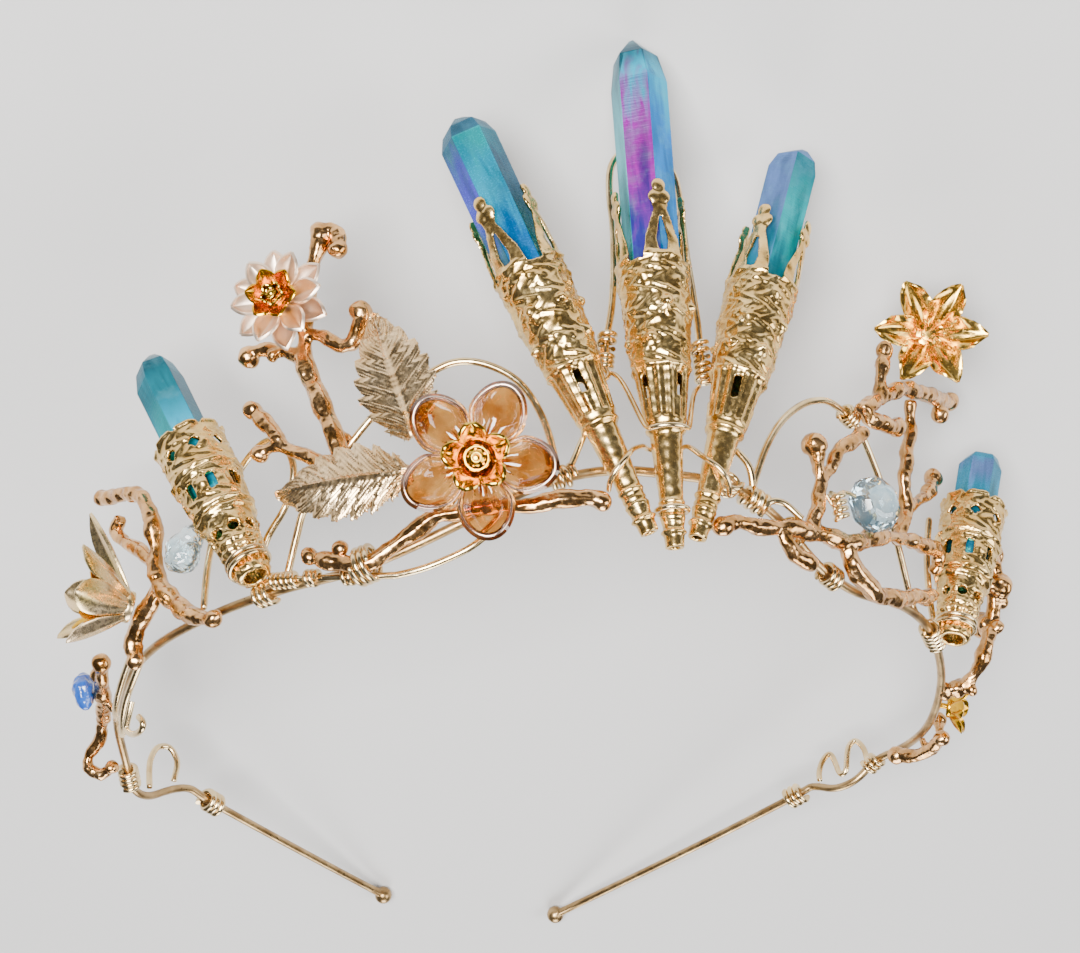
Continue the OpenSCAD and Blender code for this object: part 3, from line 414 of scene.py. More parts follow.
strand("left_foot_end", [wall(1.4, 8.8, 0.6), wall(1.0, 7.4, 0.9), wall(0.6, 6.3, 1.0), wall(0.1, 4.8, 1.1),
                         wall(-0.5, 3.2, 1.2)], 0.9)
strand("lower_left_wire", [wall(-41.6, -3.6, 0.6), wall(-39.3, -4.3, 0.6), wall(-37.6, -4.7, 0.6),
                           wall(-33.9, -5.9, 0.6), wall(-29.9, -7.0, 0.6), wall(-26.5, -7.9, 0.6),
                           wall(-23.6, -8.5, 0.3), wall(-21.4, -8.75, 0)], 1.0)
strand("lower_left_coil", winding(wall(-37.8, -4.7, 0.6), wall(-34.2, -5.8, 0.6), 0.95, 5), 0.8)
strand("lower_middle_coil", winding(wall(-33.0, -6.1, 0.6), wall(-31.4, -6.6, 0.6), 0.95, 2.5), 0.8)
strand("lower_right_coil", winding(wall(-28.2, -7.5, 0.6), wall(-26.4, -7.9, 0.6), 0.95, 2.5), 0.8)
strand("rear_left_wire", [wall(-62.6, -3.9, 2), wall(-64.7, -4.7, 2), wall(-67.8, -5.5, 2),
                          wall(-71.3, -6.3, 2), wall(-75.5, -7.2, 1.6), wall(-78.9, -6.2, 0.8)], 1.1)
strand("rear_left_second_wire", [wall(-65.2, -2.5, 2.4), wall(-68.1, -3.3, 2.4), wall(-71.7, -4.3, 2.4),
                                 wall(-75.6, -4.7, 2.2), wall(-79.5, -3.2, 1.0)], 1.1)
strand("rear_left_curl", [wall(-68.6, -7.2, 1.8), wall(-69.8, -9.4, 2.4), wall(-71.8, -9.9, 2.6),
                          wall(-69.3, -12.4, 2.6), wall(-65.8, -13.7, 2.6), wall(-64.4, -13.0, 2.6),
                          wall(-65.8, -11.4, 2.6)], 1.0)
strand("rear_left_winding", winding(*on_band((-66.7, 8.9, -1.1), 3.8), BAND_WRAP_R, 4), 1.0)
strand("right_side_winding", winding(*on_band((62.4, -34.6, 0.1), 5.6), BAND_WRAP_R, 5), 0.9)
strand("right_rear_winding", winding(*on_band((66.3, 13.2, 3.3), 3.2), BAND_WRAP_R, 3), 0.9)
middle, axis, reach = sleeve_line("stone_post")
post = LAID.inverted() @ middle
stone = np.mean([LAID.inverted() @ v.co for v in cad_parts["faceted_stone"].data.vertices], axis=0)
branch = np.array([LAID.inverted() @ v.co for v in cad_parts["right_twig"].data.vertices])
nearest = branch[np.argmin(np.linalg.norm(branch - np.array(post), axis=1))]
way = (LAID.inverted().to_3x3() @ axis).normalized() * (reach / MM / 2 + 0.4)
ends = sorted((post + way, post - way), key=lambda end: (end - Vector(stone)).length)
strand("stone_post_core", [Vector(stone).lerp(ends[0], 0.5), ends[0], post, ends[1], Vector(nearest)], 0.6)

# The crystals: natural quartz points coated with metal vapour, which gives each face its own blue, and a
# violet or a magenta on one or two. Each keeps its solid's faces, with its edges just broken, and is glued
# into its cone.
CENTRE = (wall(11.1, -8.1, 3), wall(6.6, 68.2, 3), 13)
INNER_LEFT = (wall(8.1, -6.5, 3), wall(-10.6, 53.7, 3), 10)
INNER_RIGHT = (wall(13.8, -6.3, 3), wall(24.4, 56.4, 3), 0)
FAR_LEFT = (wall(-38.4, -5.1, 3.5), wall(-48.9, 34.9, 3.5), 0)
FAR_RIGHT = (wall(61.9, -0.9, 5.5), wall(64.4, 34, 6.2), 0)
TALL_L = 42
SIDE_L = 26
CYAN = (0.0, 0.38, 0.58)
AZURE = (0.0, 0.17, 0.52)
TEAL = (0.0, 0.15, 0.20)
DEEP_TEAL = (0.0, 0.055, 0.08)
SEA_GREEN = (0.0, 0.33, 0.36)
MILKY = (0.14, 0.52, 0.56)
MAGENTA = (0.46, 0.02, 0.50)
VIOLET = (0.06, 0.05, 0.46)
LAVENDER = (0.10, 0.18, 0.42)
SLATE = (0.02, 0.09, 0.15)
ICE = (0.01, 0.24, 0.40)
VEIL = (0.14, 0.42, 0.52)


def on_line(line):
    """The matrix of a crystal's own line, from its cone's foot to its tip."""
    return aim(line[0], line[1] - line[0], line[2])


def face_colours(tree, turned, colours):
    """A colour for each sixth of a turn, with a clean change at each edge."""
    made = linked(tree, "ShaderNodeValToRGB", {}, Fac=turned)
    ramp = made.color_ramp
    ramp.interpolation = "CONSTANT"
    for k in range(1, 5):
        ramp.elements.new(k / 6)
    for k, colour in enumerate(colours):
        ramp.elements[k].position = k / 6
        ramp.elements[k].color = (*colour, 1)
    return made.outputs["Color"]


def worked(tree, kind, operation, *values):
    """The outputs of one sum, on numbers or on vectors."""
    numbered = {"s%d" % k: value for k, value in enumerate(values)}
    return linked(tree, kind, {"operation": operation}, **numbered).outputs


def quartz(name, line, visible_from, faces, point, milk, frost, clear):
    """Coated quartz: each face has a colour at its root, middle and tip, and the point has its own."""
    material, tree, shader, where = new_material(name)
    place = on_line(line)
    axis = (rest_turn @ (line[1] - line[0])).normalized()
    own = linked(tree, "ShaderNodeMapping", {"vector_type": "TEXTURE"}, Vector=where.outputs["Object"],
                 Location=place.to_translation(), Rotation=place.to_euler(), Scale=(MM, MM, MM))
    own = own.outputs["Vector"]
    parts = linked(tree, "ShaderNodeSeparateXYZ", {}, Vector=own).outputs
    angle = worked(tree, "ShaderNodeMath", "ARCTAN2", parts["Y"], parts["X"])[0]
    turns = worked(tree, "ShaderNodeMath", "DIVIDE", angle, 2 * math.pi)[0]
    turned = worked(tree, "ShaderNodeMath", "FRACT", turns)[0]
    drawn_out = worked(tree, "ShaderNodeVectorMath", "MULTIPLY", own, (1, 1, 0.16))[0]
    streaks = noise(tree, drawn_out, 0.6, 5, Distortion=0.5)
    wander = spread(tree, streaks, 0.3, 0.7, -0.16, 0.16)
    height = spread(tree, parts["Z"], visible_from, (line[1] - line[0]).length)
    share = worked(tree, "ShaderNodeMath", "ADD", height, wander)[0]
    roots, middles, tips = (face_colours(tree, turned, row) for row in zip(*faces))
    colour = mixed(tree, spread(tree, share, 0.12, 0.42), roots, middles)
    colour = mixed(tree, spread(tree, share, 0.60, 0.84), colour, tips)
    faced = worked(tree, "ShaderNodeVectorMath", "DOT_PRODUCT", where.outputs["Normal"], axis)["Value"]
    colour = mixed(tree, spread(tree, faced, 0.24, 0.34), colour, (*point, 1))
    veils = noise(tree, own, 0.28, 6, Roughness=0.62)
    colour = mixed(tree, spread(tree, veils, 0.50, 0.66, 0, milk), colour, (*VEIL, 1))
    colour = mixed(tree, 1.0, colour, spread(tree, streaks, 0.34, 0.60, 0.62, 1.1), "MULTIPLY")
    tree.links.new(colour, shader.inputs["Base Color"])
    grain = noise(tree, own, 3.2, 6)
    gloss = spread(tree, grain, 0.3, 0.7, 0.05 + 0.3 * frost, 0.12 + 0.6 * frost)
    tree.links.new(gloss, shader.inputs["Roughness"])
    banded = worked(tree, "ShaderNodeVectorMath", "MULTIPLY", own, (0.25, 0.25, 3.2))[0]
    growth = noise(tree, banded, 1.2, 4)
    bumped(tree, shader, worked(tree, "ShaderNodeMath", "MULTIPLY_ADD", grain, frost, growth)[0], 0.3, 0.12)
    set_sockets(shader, Transmission_Weight=clear, IOR=1.54, Metallic=0.6, Specular_Tint=(0.2, 0.5, 0.62, 1),
                Specular_IOR_Level=0.3, Coat_Weight=0.15, Coat_Roughness=0.05)
    return material


# node, line, where its cone ends, (root, middle, tip) of the faces from 0 degrees on, point, milk, frost,
# clearness, slot
CRYSTALS = [
    ("centre_crystal", CENTRE, TALL_L,
     [(AZURE, AZURE, CYAN), (TEAL, AZURE, TEAL), (TEAL, TEAL, DEEP_TEAL), (TEAL, SEA_GREEN, TEAL),
      (SEA_GREEN, MILKY, DEEP_TEAL), (VIOLET, MAGENTA, CYAN)], DEEP_TEAL, 0.3, 0.1, 0.0, "centre_quartz"),
    ("inner_left_crystal", INNER_LEFT, TALL_L,
     [(AZURE, CYAN, SEA_GREEN), (TEAL, SLATE, TEAL), (TEAL, TEAL, TEAL), (AZURE, TEAL, TEAL),
      (TEAL, CYAN, TEAL), (SLATE, VIOLET, SLATE)], SLATE, 0.12, 0.35, 0.0, "left_quartz"),
    ("inner_right_crystal", INNER_RIGHT, TALL_L,
     [(TEAL, TEAL, ICE), (TEAL, ICE, TEAL), (TEAL, TEAL, TEAL), (TEAL, ICE, ICE), (ICE, LAVENDER, LAVENDER),
      (TEAL, SEA_GREEN, TEAL)], LAVENDER, 0.2, 0.8, 0.0, "right_quartz"),
    ("far_left_crystal", FAR_LEFT, SIDE_L,
     [(SEA_GREEN, TEAL, TEAL), (CYAN, TEAL, DEEP_TEAL), (TEAL, DEEP_TEAL, TEAL), (TEAL, TEAL, DEEP_TEAL),
      (TEAL, TEAL, TEAL), (SEA_GREEN, CYAN, TEAL)], DEEP_TEAL, 0.2, 0.1, 0.05, "teal_quartz"),
    ("far_right_crystal", FAR_RIGHT, SIDE_L,
     [(TEAL, ICE, TEAL), (TEAL, TEAL, TEAL), (ICE, TEAL, ICE), (TEAL, ICE, LAVENDER), (ICE, LAVENDER, ICE),
      (TEAL, ICE, TEAL)], ICE, 0.2, 0.5, 0.05, "pale_quartz"),
]
for node, line, visible_from, faces, point, milk, frost, clear, slot in CRYSTALS:
    crystal = copy_of(node, node + "_point")
    select_only(crystal)
    bpy.ops.object.mode_set(mode="EDIT")
    bpy.ops.mesh.select_all(action="SELECT")
    bpy.ops.mesh.dissolve_limited(angle_limit=math.radians(1))
    bpy.ops.object.mode_set(mode="OBJECT")
    apply(crystal, "BEVEL", width=0.12 * MM, segments=2, limit_method="ANGLE", angle_limit=math.radians(12))
    smooth(crystal, 14)
    coat = quartz(node + "_coat", line, visible_from, faces, point, milk, frost, clear)
    finish_piece(crystal, coat, slot, node)

# The cones: stamped and pierced brass bead caps, rolled to a cone and gilded. Their solids have the shape,
# the windows and the prongs. The stamping raises flowers and scrolls on the bells, flutes on the necks and
# rings below.
TALL_MOUTH = 10.4
PRONG_L = 11
PRONGS = 4
# share of the length, share of the mouth's radius
TALL_PROFILE = [(0.0, 0.25), (0.06, 0.27), (0.2, 0.34), (0.38, 0.44), (0.4, 0.52), (0.58, 0.7),
                (0.62, 0.78), (0.8, 0.9), (1, 1)]
SIDE_MOUTH = 10.2
SIDE_PROFILE = [(0, 0.42), (0.1, 0.5), (0.3, 0.68), (0.5, 0.85), (0.7, 0.95), (1, 1)]
# share of the length, height
TALL_RINGS = [(0.05, 0.16), (0.085, 0.16), (0.12, 0.14), (0.395, 0.22), (0.425, 0.12), (0.605, 0.24),
              (0.985, 0.18)]
SIDE_RINGS = [(0.04, 0.24), (0.17, 0.2), (0.21, 0.2), (0.41, 0.22), (0.45, 0.2), (0.67, 0.22), (0.71, 0.2),
              (0.985, 0.25)]
RING_T = 0.32
# share of the length, how far the row is turned, as a share of a step
TALL_FLOWERS = [(0.69, 0.0), (0.80, 0.5), (0.915, 0.0)]
SIDE_FLOWERS = [(0.30, 0.0), (0.58, 0.5), (0.84, 0.0)]
FLOWERS_ROUND = 5
FLOWER_R = 1.75
PETAL_RISE = 0.32
PETAL_HOLLOW = 0.15
FLOWER_BALL = 0.2
SCROLL_RISE = 0.17
WEAVE_RISE = 0.12
FLUTES_ROUND = 14
FLUTE_RISE = 0.13
HAMMERED = 0.035
PRONG_MARKS = 0.03
CONE_VOXEL = 0.24 * MM
FOOT_WRAP = (1.6, 3.4)
FOOT_WRAP_R = 3.1
OUTER_SKIN = 0.3


def knob(place, size, stretch=(1, 1, 1)):
    """One small round boss, flattened or drawn out, at a place in millimetres."""
    bpy.ops.mesh.primitive_uv_sphere_add(segments=14, ring_count=8, radius=size / 2)
    piece = bpy.context.object
    piece.data.transform(Matrix.Translation(place) @ Matrix.Diagonal((*stretch, 1)))
    return piece


def around(degrees, r, z):
    """The matrix of a place on a cone: z up the cone, x straight out, y round it."""
    return Matrix.Rotation(math.radians(degrees), 4, "Z") @ Matrix.Translation((r, 0, z))


def joined(pieces, name):
    """Joins pieces into the first one."""
    select_only(*pieces)
    bpy.ops.object.join()
    pieces[0].name = name
    return pieces[0]


def prong_tips(place):
    """The three flat lobes at the end of each prong of a tall cone."""
    made = []
    for k in range(PRONGS):
        for across_it, below, size in ((0, 0.95, 2.1), (0.75, 2.7, 1.9), (-0.75, 2.7, 1.9)):
            lobe = knob((0, 0, 0), size, (0.36, 1, 1.1))
            turn = 360 * k / PRONGS + math.degrees(across_it / (TALL_MOUTH / 2))
            lobe.data.transform(place @ around(turn, TALL_MOUTH / 2 - 0.15, TALL_L + PRONG_L - below))
            made.append(lobe)
    return made


def flower_height(across_it, up_it):
    """The height of one stamped flower: five round petals, each with a hollow, and a ball in the middle."""
    far = np.hypot(across_it, up_it)
    lobes = np.abs(np.cos(2.5 * np.arctan2(up_it, across_it)))
    edge = FLOWER_R * (0.5 + 0.5 * lobes)
    body = np.clip((edge - far) / 0.35, 0, 1)
    hollow = np.exp(-((far - 0.62 * edge) / 0.38) ** 2) * lobes
    ball = np.exp(-(far / 0.38) ** 2)
    return PETAL_RISE * body - PETAL_HOLLOW * body * hollow + FLOWER_BALL * ball


def remesh(piece, voxel):
    """Gives a piece one even skin of small faces."""
    piece.data.remesh_voxel_size = voxel
    select_only(piece)
    bpy.ops.object.voxel_remesh()


def stamp(piece, place, profile, mouth, length, rings, flowers, flutes):
    """Raises the stamped relief on a cone's outer skin, each point along its own way out."""
    count = len(piece.data.vertices)
    flat = np.empty(count * 3)
    piece.data.vertices.foreach_get("co", flat)
    points = flat.reshape(count, 3)
    to_own = np.array(place.inverted())
    own = points @ to_own[:3, :3].T + to_own[:3, 3]
    angle = np.arctan2(own[:, 1], own[:, 0])
    r = np.hypot(own[:, 0], own[:, 1])
    z = own[:, 2]
    shares, radii = zip(*profile)
    outer = np.interp(z / length, shares, radii) * mouth / 2
    rise = np.zeros(count)
    for share, height in rings:
        rise += height * np.exp(-((z - share * length) / RING_T) ** 2)
    steps = angle * FLOWERS_ROUND / (2 * math.pi)
    taken = np.zeros(count)
    for share, shift in flowers:
        along = ((steps + shift) % 1 - 0.5) * 2 * math.pi * outer / FLOWERS_ROUND
        height = flower_height(along, z - share * length)
        taken = np.maximum(taken, height)
    low, high = flutes
    bell = (z > high * length) & (z < length)
    scroll = np.abs(np.sin(math.pi * (2 * steps + 0.45 * np.sin(z * 1.9) + z / 4.6)))
    weave = np.abs(np.sin(math.pi * (3 * steps - 0.35 * np.sin(z * 1.1) - z / 3.7)))
    leaves = SCROLL_RISE * (1 - scroll) ** 1.2 + WEAVE_RISE * (1 - weave) ** 1.5
    rise += np.where(bell, np.maximum(taken, leaves), 0)
    fluted = (z > low * length) & (z < high * length)
    rise += np.where(fluted, FLUTE_RISE * np.cos(FLUTES_ROUND * angle), 0)
    rise += HAMMERED * np.sin(5 * angle + 1.7 * z) * np.sin(3 * angle - 2.3 * z + 1)
    prong = z > length
    rise = np.where(prong, PRONG_MARKS * np.sin(9 * angle + 2.1 * z), rise)
    skin = np.clip((r - outer + OUTER_SKIN) / 0.15, 0, 1)
    out = rise * skin / np.maximum(r, 0.1)
    own[:, 0] += own[:, 0] * out
    own[:, 1] += own[:, 1] * out
    back_again = np.array(place)
    points = own @ back_again[:3, :3].T + back_again[:3, 3]
    piece.data.vertices.foreach_set("co", points.ravel())
    piece.data.update()


cone_gold = metal("gilded_cone", (0.98, 0.69, 0.28), (0.72, 0.43, 0.12), rough=(0.16, 0.30), patch=420,
                  crevice_shade=0.6)
# profile, mouth, length, rings, flowers, where the flutes start and end
TALL = (TALL_PROFILE, TALL_MOUTH, TALL_L, TALL_RINGS, TALL_FLOWERS, (0.43, 0.6))
SIDE = (SIDE_PROFILE, SIDE_MOUTH, SIDE_L, SIDE_RINGS, SIDE_FLOWERS, (0.02, 0.2))
# node, line, kind
CONES = [("centre_cone", CENTRE, TALL), ("inner_left_cone", INNER_LEFT, TALL),
         ("inner_right_cone", INNER_RIGHT, TALL), ("far_left_cone", FAR_LEFT, SIDE),
         ("far_right_cone", FAR_RIGHT, SIDE)]
for node, line, kind in CONES:
    cone = copy_of(node, node + "_stamped")
    if kind is TALL:
        cone = joined([cone] + prong_tips(on_line(line)), node + "_stamped")
    remesh(cone, CONE_VOXEL)
    apply(cone, "SMOOTH", factor=0.5, iterations=2)
    stamp(cone, on_line(line), *kind)
    smooth(cone, 80)
    finish_piece(cone, cone_gold, "cone_gold", node)
for side, line in (("left", FAR_LEFT), ("right", FAR_RIGHT)):
    foot, tip = line[:2]
    along = (tip - foot).normalized()
    strand("far_" + side + "_foot_wrap", winding(foot + FOOT_WRAP[0] * along, foot + FOOT_WRAP[1] * along,
                                                 FOOT_WRAP_R, 2), 0.8)

# The twigs: real twigs cast in brass and plated rose gold, soldered to the wires. Each starts from its
# solid, and its skin is drawn tight, swollen here and there, and scored a little like bark. The far right
# one has buds.
TWIGS = ["tall_twig", "left_twig", "low_twig", "right_twig", "upper_right_twig", "stem_twig", "hooked_twig",
         "rear_left_twig", "far_right_twig", "rear_right_twig"]
TWIG_VOXEL = 0.26 * MM
KNOT_SIZE = 3.2 * MM
BARK_SIZE = 1.1 * MM
BUD_EVERY = 9
BUD_SIZE = 2.1
knots = bpy.data.textures.new("twig_knots", "CLOUDS")
knots.noise_scale = KNOT_SIZE
knots.noise_depth = 0
bark = bpy.data.textures.new("twig_bark", "CLOUDS")
bark.noise_scale = BARK_SIZE
bark.noise_depth = 2
twig_gold = metal("cast_twig", (0.86, 0.50, 0.22), (0.46, 0.22, 0.06), rough=(0.12, 0.30), grain=1500,
                  bump=0.25, patch=420, crevice_shade=0.8)
for node in TWIGS:
    twig = copy_of(node, node + "_cast")
    if node == "far_right_twig":
        buds = []
        for corner in list(twig.data.vertices)[::BUD_EVERY]:
            bud = knob((0, 0, 0), BUD_SIZE)
            bud.data.transform(Matrix.Translation(corner.co) @ Matrix.Scale(MM, 4))
            buds.append(bud)
        twig = joined([twig] + buds, node + "_cast")
    remesh(twig, TWIG_VOXEL)
    apply(twig, "SMOOTH", factor=0.5, iterations=6)
    apply(twig, "DISPLACE", texture=knots, texture_coords="LOCAL", strength=0.9 * MM, mid_level=0.32)
    apply(twig, "DISPLACE", texture=bark, texture_coords="LOCAL", strength=0.34 * MM, mid_level=0.5)
    apply(twig, "SMOOTH", factor=0.5, iterations=2)
    smooth(twig, 70)
    finish_piece(twig, twig_gold, "twig_gold", node)

# The leaves: stamped brass, gilded, with a toothed edge, a raised middle rib and slanting veins. Each is
# held by a short post behind it.
LEAF_L = 20
LEAF_W = 11.5
LEAF_TEETH = 7
LEAF_T = 0.5
POST_R = 0.5
TOOTH_DEPTH = 0.2
RIB_RISE = 0.5
VEIN_RISE = 0.2
HATCH_RISE = 0.08


def leaf(name, root, towards, face, material, node):
    """One leaf from its root towards a point, facing a direction, all as worn."""
    x = (towards - root).normalized()
    y = face.cross(x).normalized()
    z = x.cross(y)
    bpy.ops.mesh.primitive_grid_add(x_subdivisions=160, y_subdivisions=44, size=2)
    blade = bpy.context.object
    blade.name = name
    for v in blade.data.vertices:
        u = (v.co.x + 1) / 2
        s = v.co.y
        slant = u - 0.13 * abs(s)
        tooth = (LEAF_TEETH * slant) % 1
        edge = 1 - TOOTH_DEPTH * (1 - tooth) ** 1.4
        half = LEAF_W / 2 * math.sin(math.pi * min(1, (u + 0.03) / 1.05) ** 0.85) ** 0.85 * edge
        vein = abs((LEAF_TEETH * (u - 0.2 * abs(s)) + 0.3) % 1 - 0.5)
        hatch = math.sin(2 * math.pi * LEAF_TEETH * 4 * (u - 0.26 * abs(s)) + 1.2 * math.sin(9 * u))
        rib = math.exp(-(s / 0.07) ** 2) * (1 - 0.5 * u)
        height = 1.0 * (1 - abs(s)) ** 0.8 - 1.2 * (2 * u - 1) ** 2 * (1 if u > 0.5 else 0.4)
        height += RIB_RISE * rib + HATCH_RISE * hatch * (1 - rib)
        height += VEIN_RISE * max(0, 1 - vein / 0.2) * (1 - 0.4 * abs(s))
        v.co = Vector((LEAF_L * u, s * half, height))
    apply(blade, "SOLIDIFY", thickness=LEAF_T, offset=-1)
    bpy.ops.mesh.primitive_cylinder_add(vertices=12, radius=POST_R, depth=2.4,
                                        location=(LEAF_L * 0.6, 0, -0.6))
    post = bpy.context.object
    bpy.ops.object.transform_apply(location=True, rotation=True, scale=True)
    blade = joined([blade, post], name)
    axes = Matrix((x, y, z)).transposed().to_4x4()
    blade.data.transform(LAID @ Matrix.Translation(root) @ axes)
    smooth(blade, 40)
    finish_piece(blade, material, "leaf_gold", node)


leaf_gold = metal("bright_leaf", (0.90, 0.66, 0.38), (0.70, 0.46, 0.22), rough=(0.20, 0.32), patch=300,
                  crevice_shade=0.6)
up_tilt = Vector((0, 0, -0.2))
leaf("upper_leaf_blade", wall(-17.2, 6.3, 5.2), wall(-20.4, 25.4, 5.2),
     wall(-18, 0, 1) - wall(-18, 0, 0) + up_tilt, leaf_gold, "upper_leaf")
leaf("lower_leaf_blade", wall(-18, 1.2, 5.8), wall(-33, 3.4, 5.8),
     wall(-26, 0, 1) - wall(-26, 0, 0) + up_tilt, leaf_gold, "lower_leaf")

# The flowers: stamped brass petals in rings, soldered at the hub, one flower of moulded amber glass petals
# with silvered rims, and small rosebuds in the middles. Each faces out from the crown on a hidden post.
DAISY = (wall(-29.6, 30.4, 5), (-0.35, -0.85, -0.4))
GLASS = (wall(-10.7, 1.9, 5.4), (-0.1, -0.84, -0.54))
LILY = (wall(44.5, 38.3, 5.6), (-0.12, -0.8, -0.5))
LOTUS = (wall(-58.5, 0.6, 5.6), (-0.95, -0.3, 0.1))
BLOSSOM = (Vector((72.4, -10, 1.6)), (0.9, -0.3, -0.35))
# half the width at equal steps from root to tip, as shares of the width
POINTED = (0.30, 0.58, 0.80, 0.94, 1.0, 0.97, 0.84, 0.56, 0.04)
ROUND = (0.30, 0.50, 0.70, 0.88, 1.0, 1.04, 0.98, 0.78, 0.34)
STRAP = (0.30, 0.50, 0.70, 0.86, 0.98, 1.0, 0.92, 0.66, 0.10)


def share_at(outline, u):
    """A petal's width at u, from its outline, straight from step to step."""
    t = min(max(u, 0), 1) * (len(outline) - 1)
    i = min(int(t), len(outline) - 2)
    f = t - i
    return outline[i] * (1 - f) + outline[i + 1] * f


def petal(length, width, outline, cup, lift, thick, ribs=0, rib_depth=0.0, fold=0.0, wave=0.0):
    """A petal along x: cup turns its edges up, lift raises its tip, ribs run from root to tip."""
    bpy.ops.mesh.primitive_grid_add(x_subdivisions=20, y_subdivisions=14, size=2)
    blade = bpy.context.object
    for v in blade.data.vertices:
        u = (v.co.x + 1) / 2
        s = v.co.y
        half = width / 2 * share_at(outline, u)
        height = lift * u * u + cup * s * s * share_at(outline, u) + fold * abs(s)
        height += rib_depth * math.cos(math.pi * ribs * s) * math.sin(math.pi * min(1, u * 1.05 + 0.1))
        height += wave * abs(s) ** 3 * math.sin(11 * u + 2 * s)
        v.co = Vector((length * u, s * half, height))
    apply(blade, "SOLIDIFY", thickness=thick, offset=0)
    apply(blade, "BEVEL", width=thick * 0.3, segments=2, limit_method="ANGLE", angle_limit=math.radians(50))
    return blade


def ring_of(blade, count, hub, opened, turn=0.0, up=0.0):
    """Sets copies of a petal round a hub, each lifted by a number of degrees."""
    made = []
    for k in range(count):
        one = blade.copy()
        one.data = blade.data.copy()
        bpy.context.collection.objects.link(one)
        one.data.transform(Matrix.Rotation(math.radians(turn + 360 * k / count), 4, "Z")
                           @ Matrix.Translation((hub, 0, up))
                           @ Matrix.Rotation(-math.radians(opened), 4, "Y"))
        made.append(one)
    bpy.data.objects.remove(blade)
    return made


def disc(d, h, z=0.0):
    """The small disc that petals are soldered to, with its edge eased."""
    bpy.ops.mesh.primitive_cylinder_add(vertices=32, radius=d / 2, depth=h, location=(0, 0, z))
    piece = bpy.context.object
    bpy.ops.object.transform_apply(location=True, rotation=True, scale=True)
    apply(piece, "BEVEL", width=h * 0.3, segments=2, limit_method="ANGLE", angle_limit=math.radians(40))
    return piece


def hoop(r, z, thick):
    """A round ring of wire."""
    bpy.ops.mesh.primitive_torus_add(major_radius=r, minor_radius=thick / 2, major_segments=40,
                                     minor_segments=10, location=(0, 0, z))
    bpy.ops.object.transform_apply(location=True, rotation=True, scale=True)
    return bpy.context.object


def rosebud(d):
    """A bud's middle: a ball, three petals folded round it and five more opened a little."""
    made = [knob((0, 0, 0.12 * d), 0.5 * d), disc(0.7 * d, 0.16 * d, -0.3 * d)]
    folded = petal(0.62 * d, 0.56 * d, ROUND, 0.22 * d, 0.0, 0.09 * d)
    made += ring_of(folded, 3, 0.16 * d, 84, 20, -0.26 * d)
    opened = petal(0.60 * d, 0.52 * d, ROUND, 0.18 * d, 0.0, 0.09 * d)
    made += ring_of(opened, 5, 0.30 * d, 66, 0, -0.30 * d)
    return made


def dome(d):
    """A round polished middle with a ring about its foot and a small curl on top."""
    curl = hoop(0.17 * d, 0.40 * d, 0.11 * d)
    return [knob((0, 0, 0), d * 0.86, (1, 1, 0.9)), hoop(0.44 * d, -0.08 * d, 0.14 * d), curl]


def back_post(length):
    """The hidden post behind a flower."""
    bpy.ops.mesh.primitive_cylinder_add(vertices=12, radius=POST_R, depth=length,
                                        location=(0, 0, -length / 2))
    piece = bpy.context.object
    bpy.ops.object.transform_apply(location=True, rotation=True, scale=True)
    return piece


def seat_flower(made, name, flower, up, material, slot, *nodes):
    """Joins a flower's parts and sets them on its seat."""
    piece = joined(made, name)
    point, direction = flower
    raised = Vector(point) + Vector(direction).normalized() * up
    piece.data.transform(aim(raised, direction))
    smooth(piece, 40)
    finish_piece(piece, material, slot, *nodes)


petal_gold = metal("satin_petal", (0.98, 0.80, 0.64), (0.90, 0.66, 0.48), rough=(0.34, 0.46), patch=300,
                   crevice_shade=0.4)
amber_foil = metal("amber_petal", (0.82, 0.46, 0.02), (0.62, 0.30, 0.008), rough=(0.14, 0.28), patch=420,
                   crevice_shade=0.4)
rosette_gold = metal("rosette_gold", (0.84, 0.54, 0.08), (0.60, 0.33, 0.025), rough=(0.08, 0.20),
                     crevice_shade=0.45)
lily_gold = metal("lily_gold", (1.0, 0.66, 0.17), (0.74, 0.38, 0.04), rough=(0.14, 0.30), patch=350,
                  crevice_shade=0.8)

outer = ring_of(petal(6.2, 3.6, POINTED, 0.8, 0.6, 0.45, fold=0.2), 6, 1.4, 8)
outer += ring_of(petal(5.7, 3.4, POINTED, 0.8, 0.6, 0.45, fold=0.2), 6, 1.4, 16, 30, 1.1)
seat_flower(outer + [disc(4, 2, 0.5), back_post(1.6)], "daisy_outer_ring", DAISY, 0, petal_gold,
            "petal_gold", "daisy_outer_petals")
inner = ring_of(petal(3.7, 2.9, POINTED, 0.6, 0.3, 0.35), 6, 1.2, 42, 15)
seat_flower(inner + [disc(3.6, 0.8)], "daisy_inner_ring", DAISY, 2.5, amber_foil, "amber_foil",
            "daisy_inner_petals")
seat_flower(rosebud(3.1), "daisy_bud", DAISY, 4.15, rosette_gold, "rosette_gold", "daisy_centre")

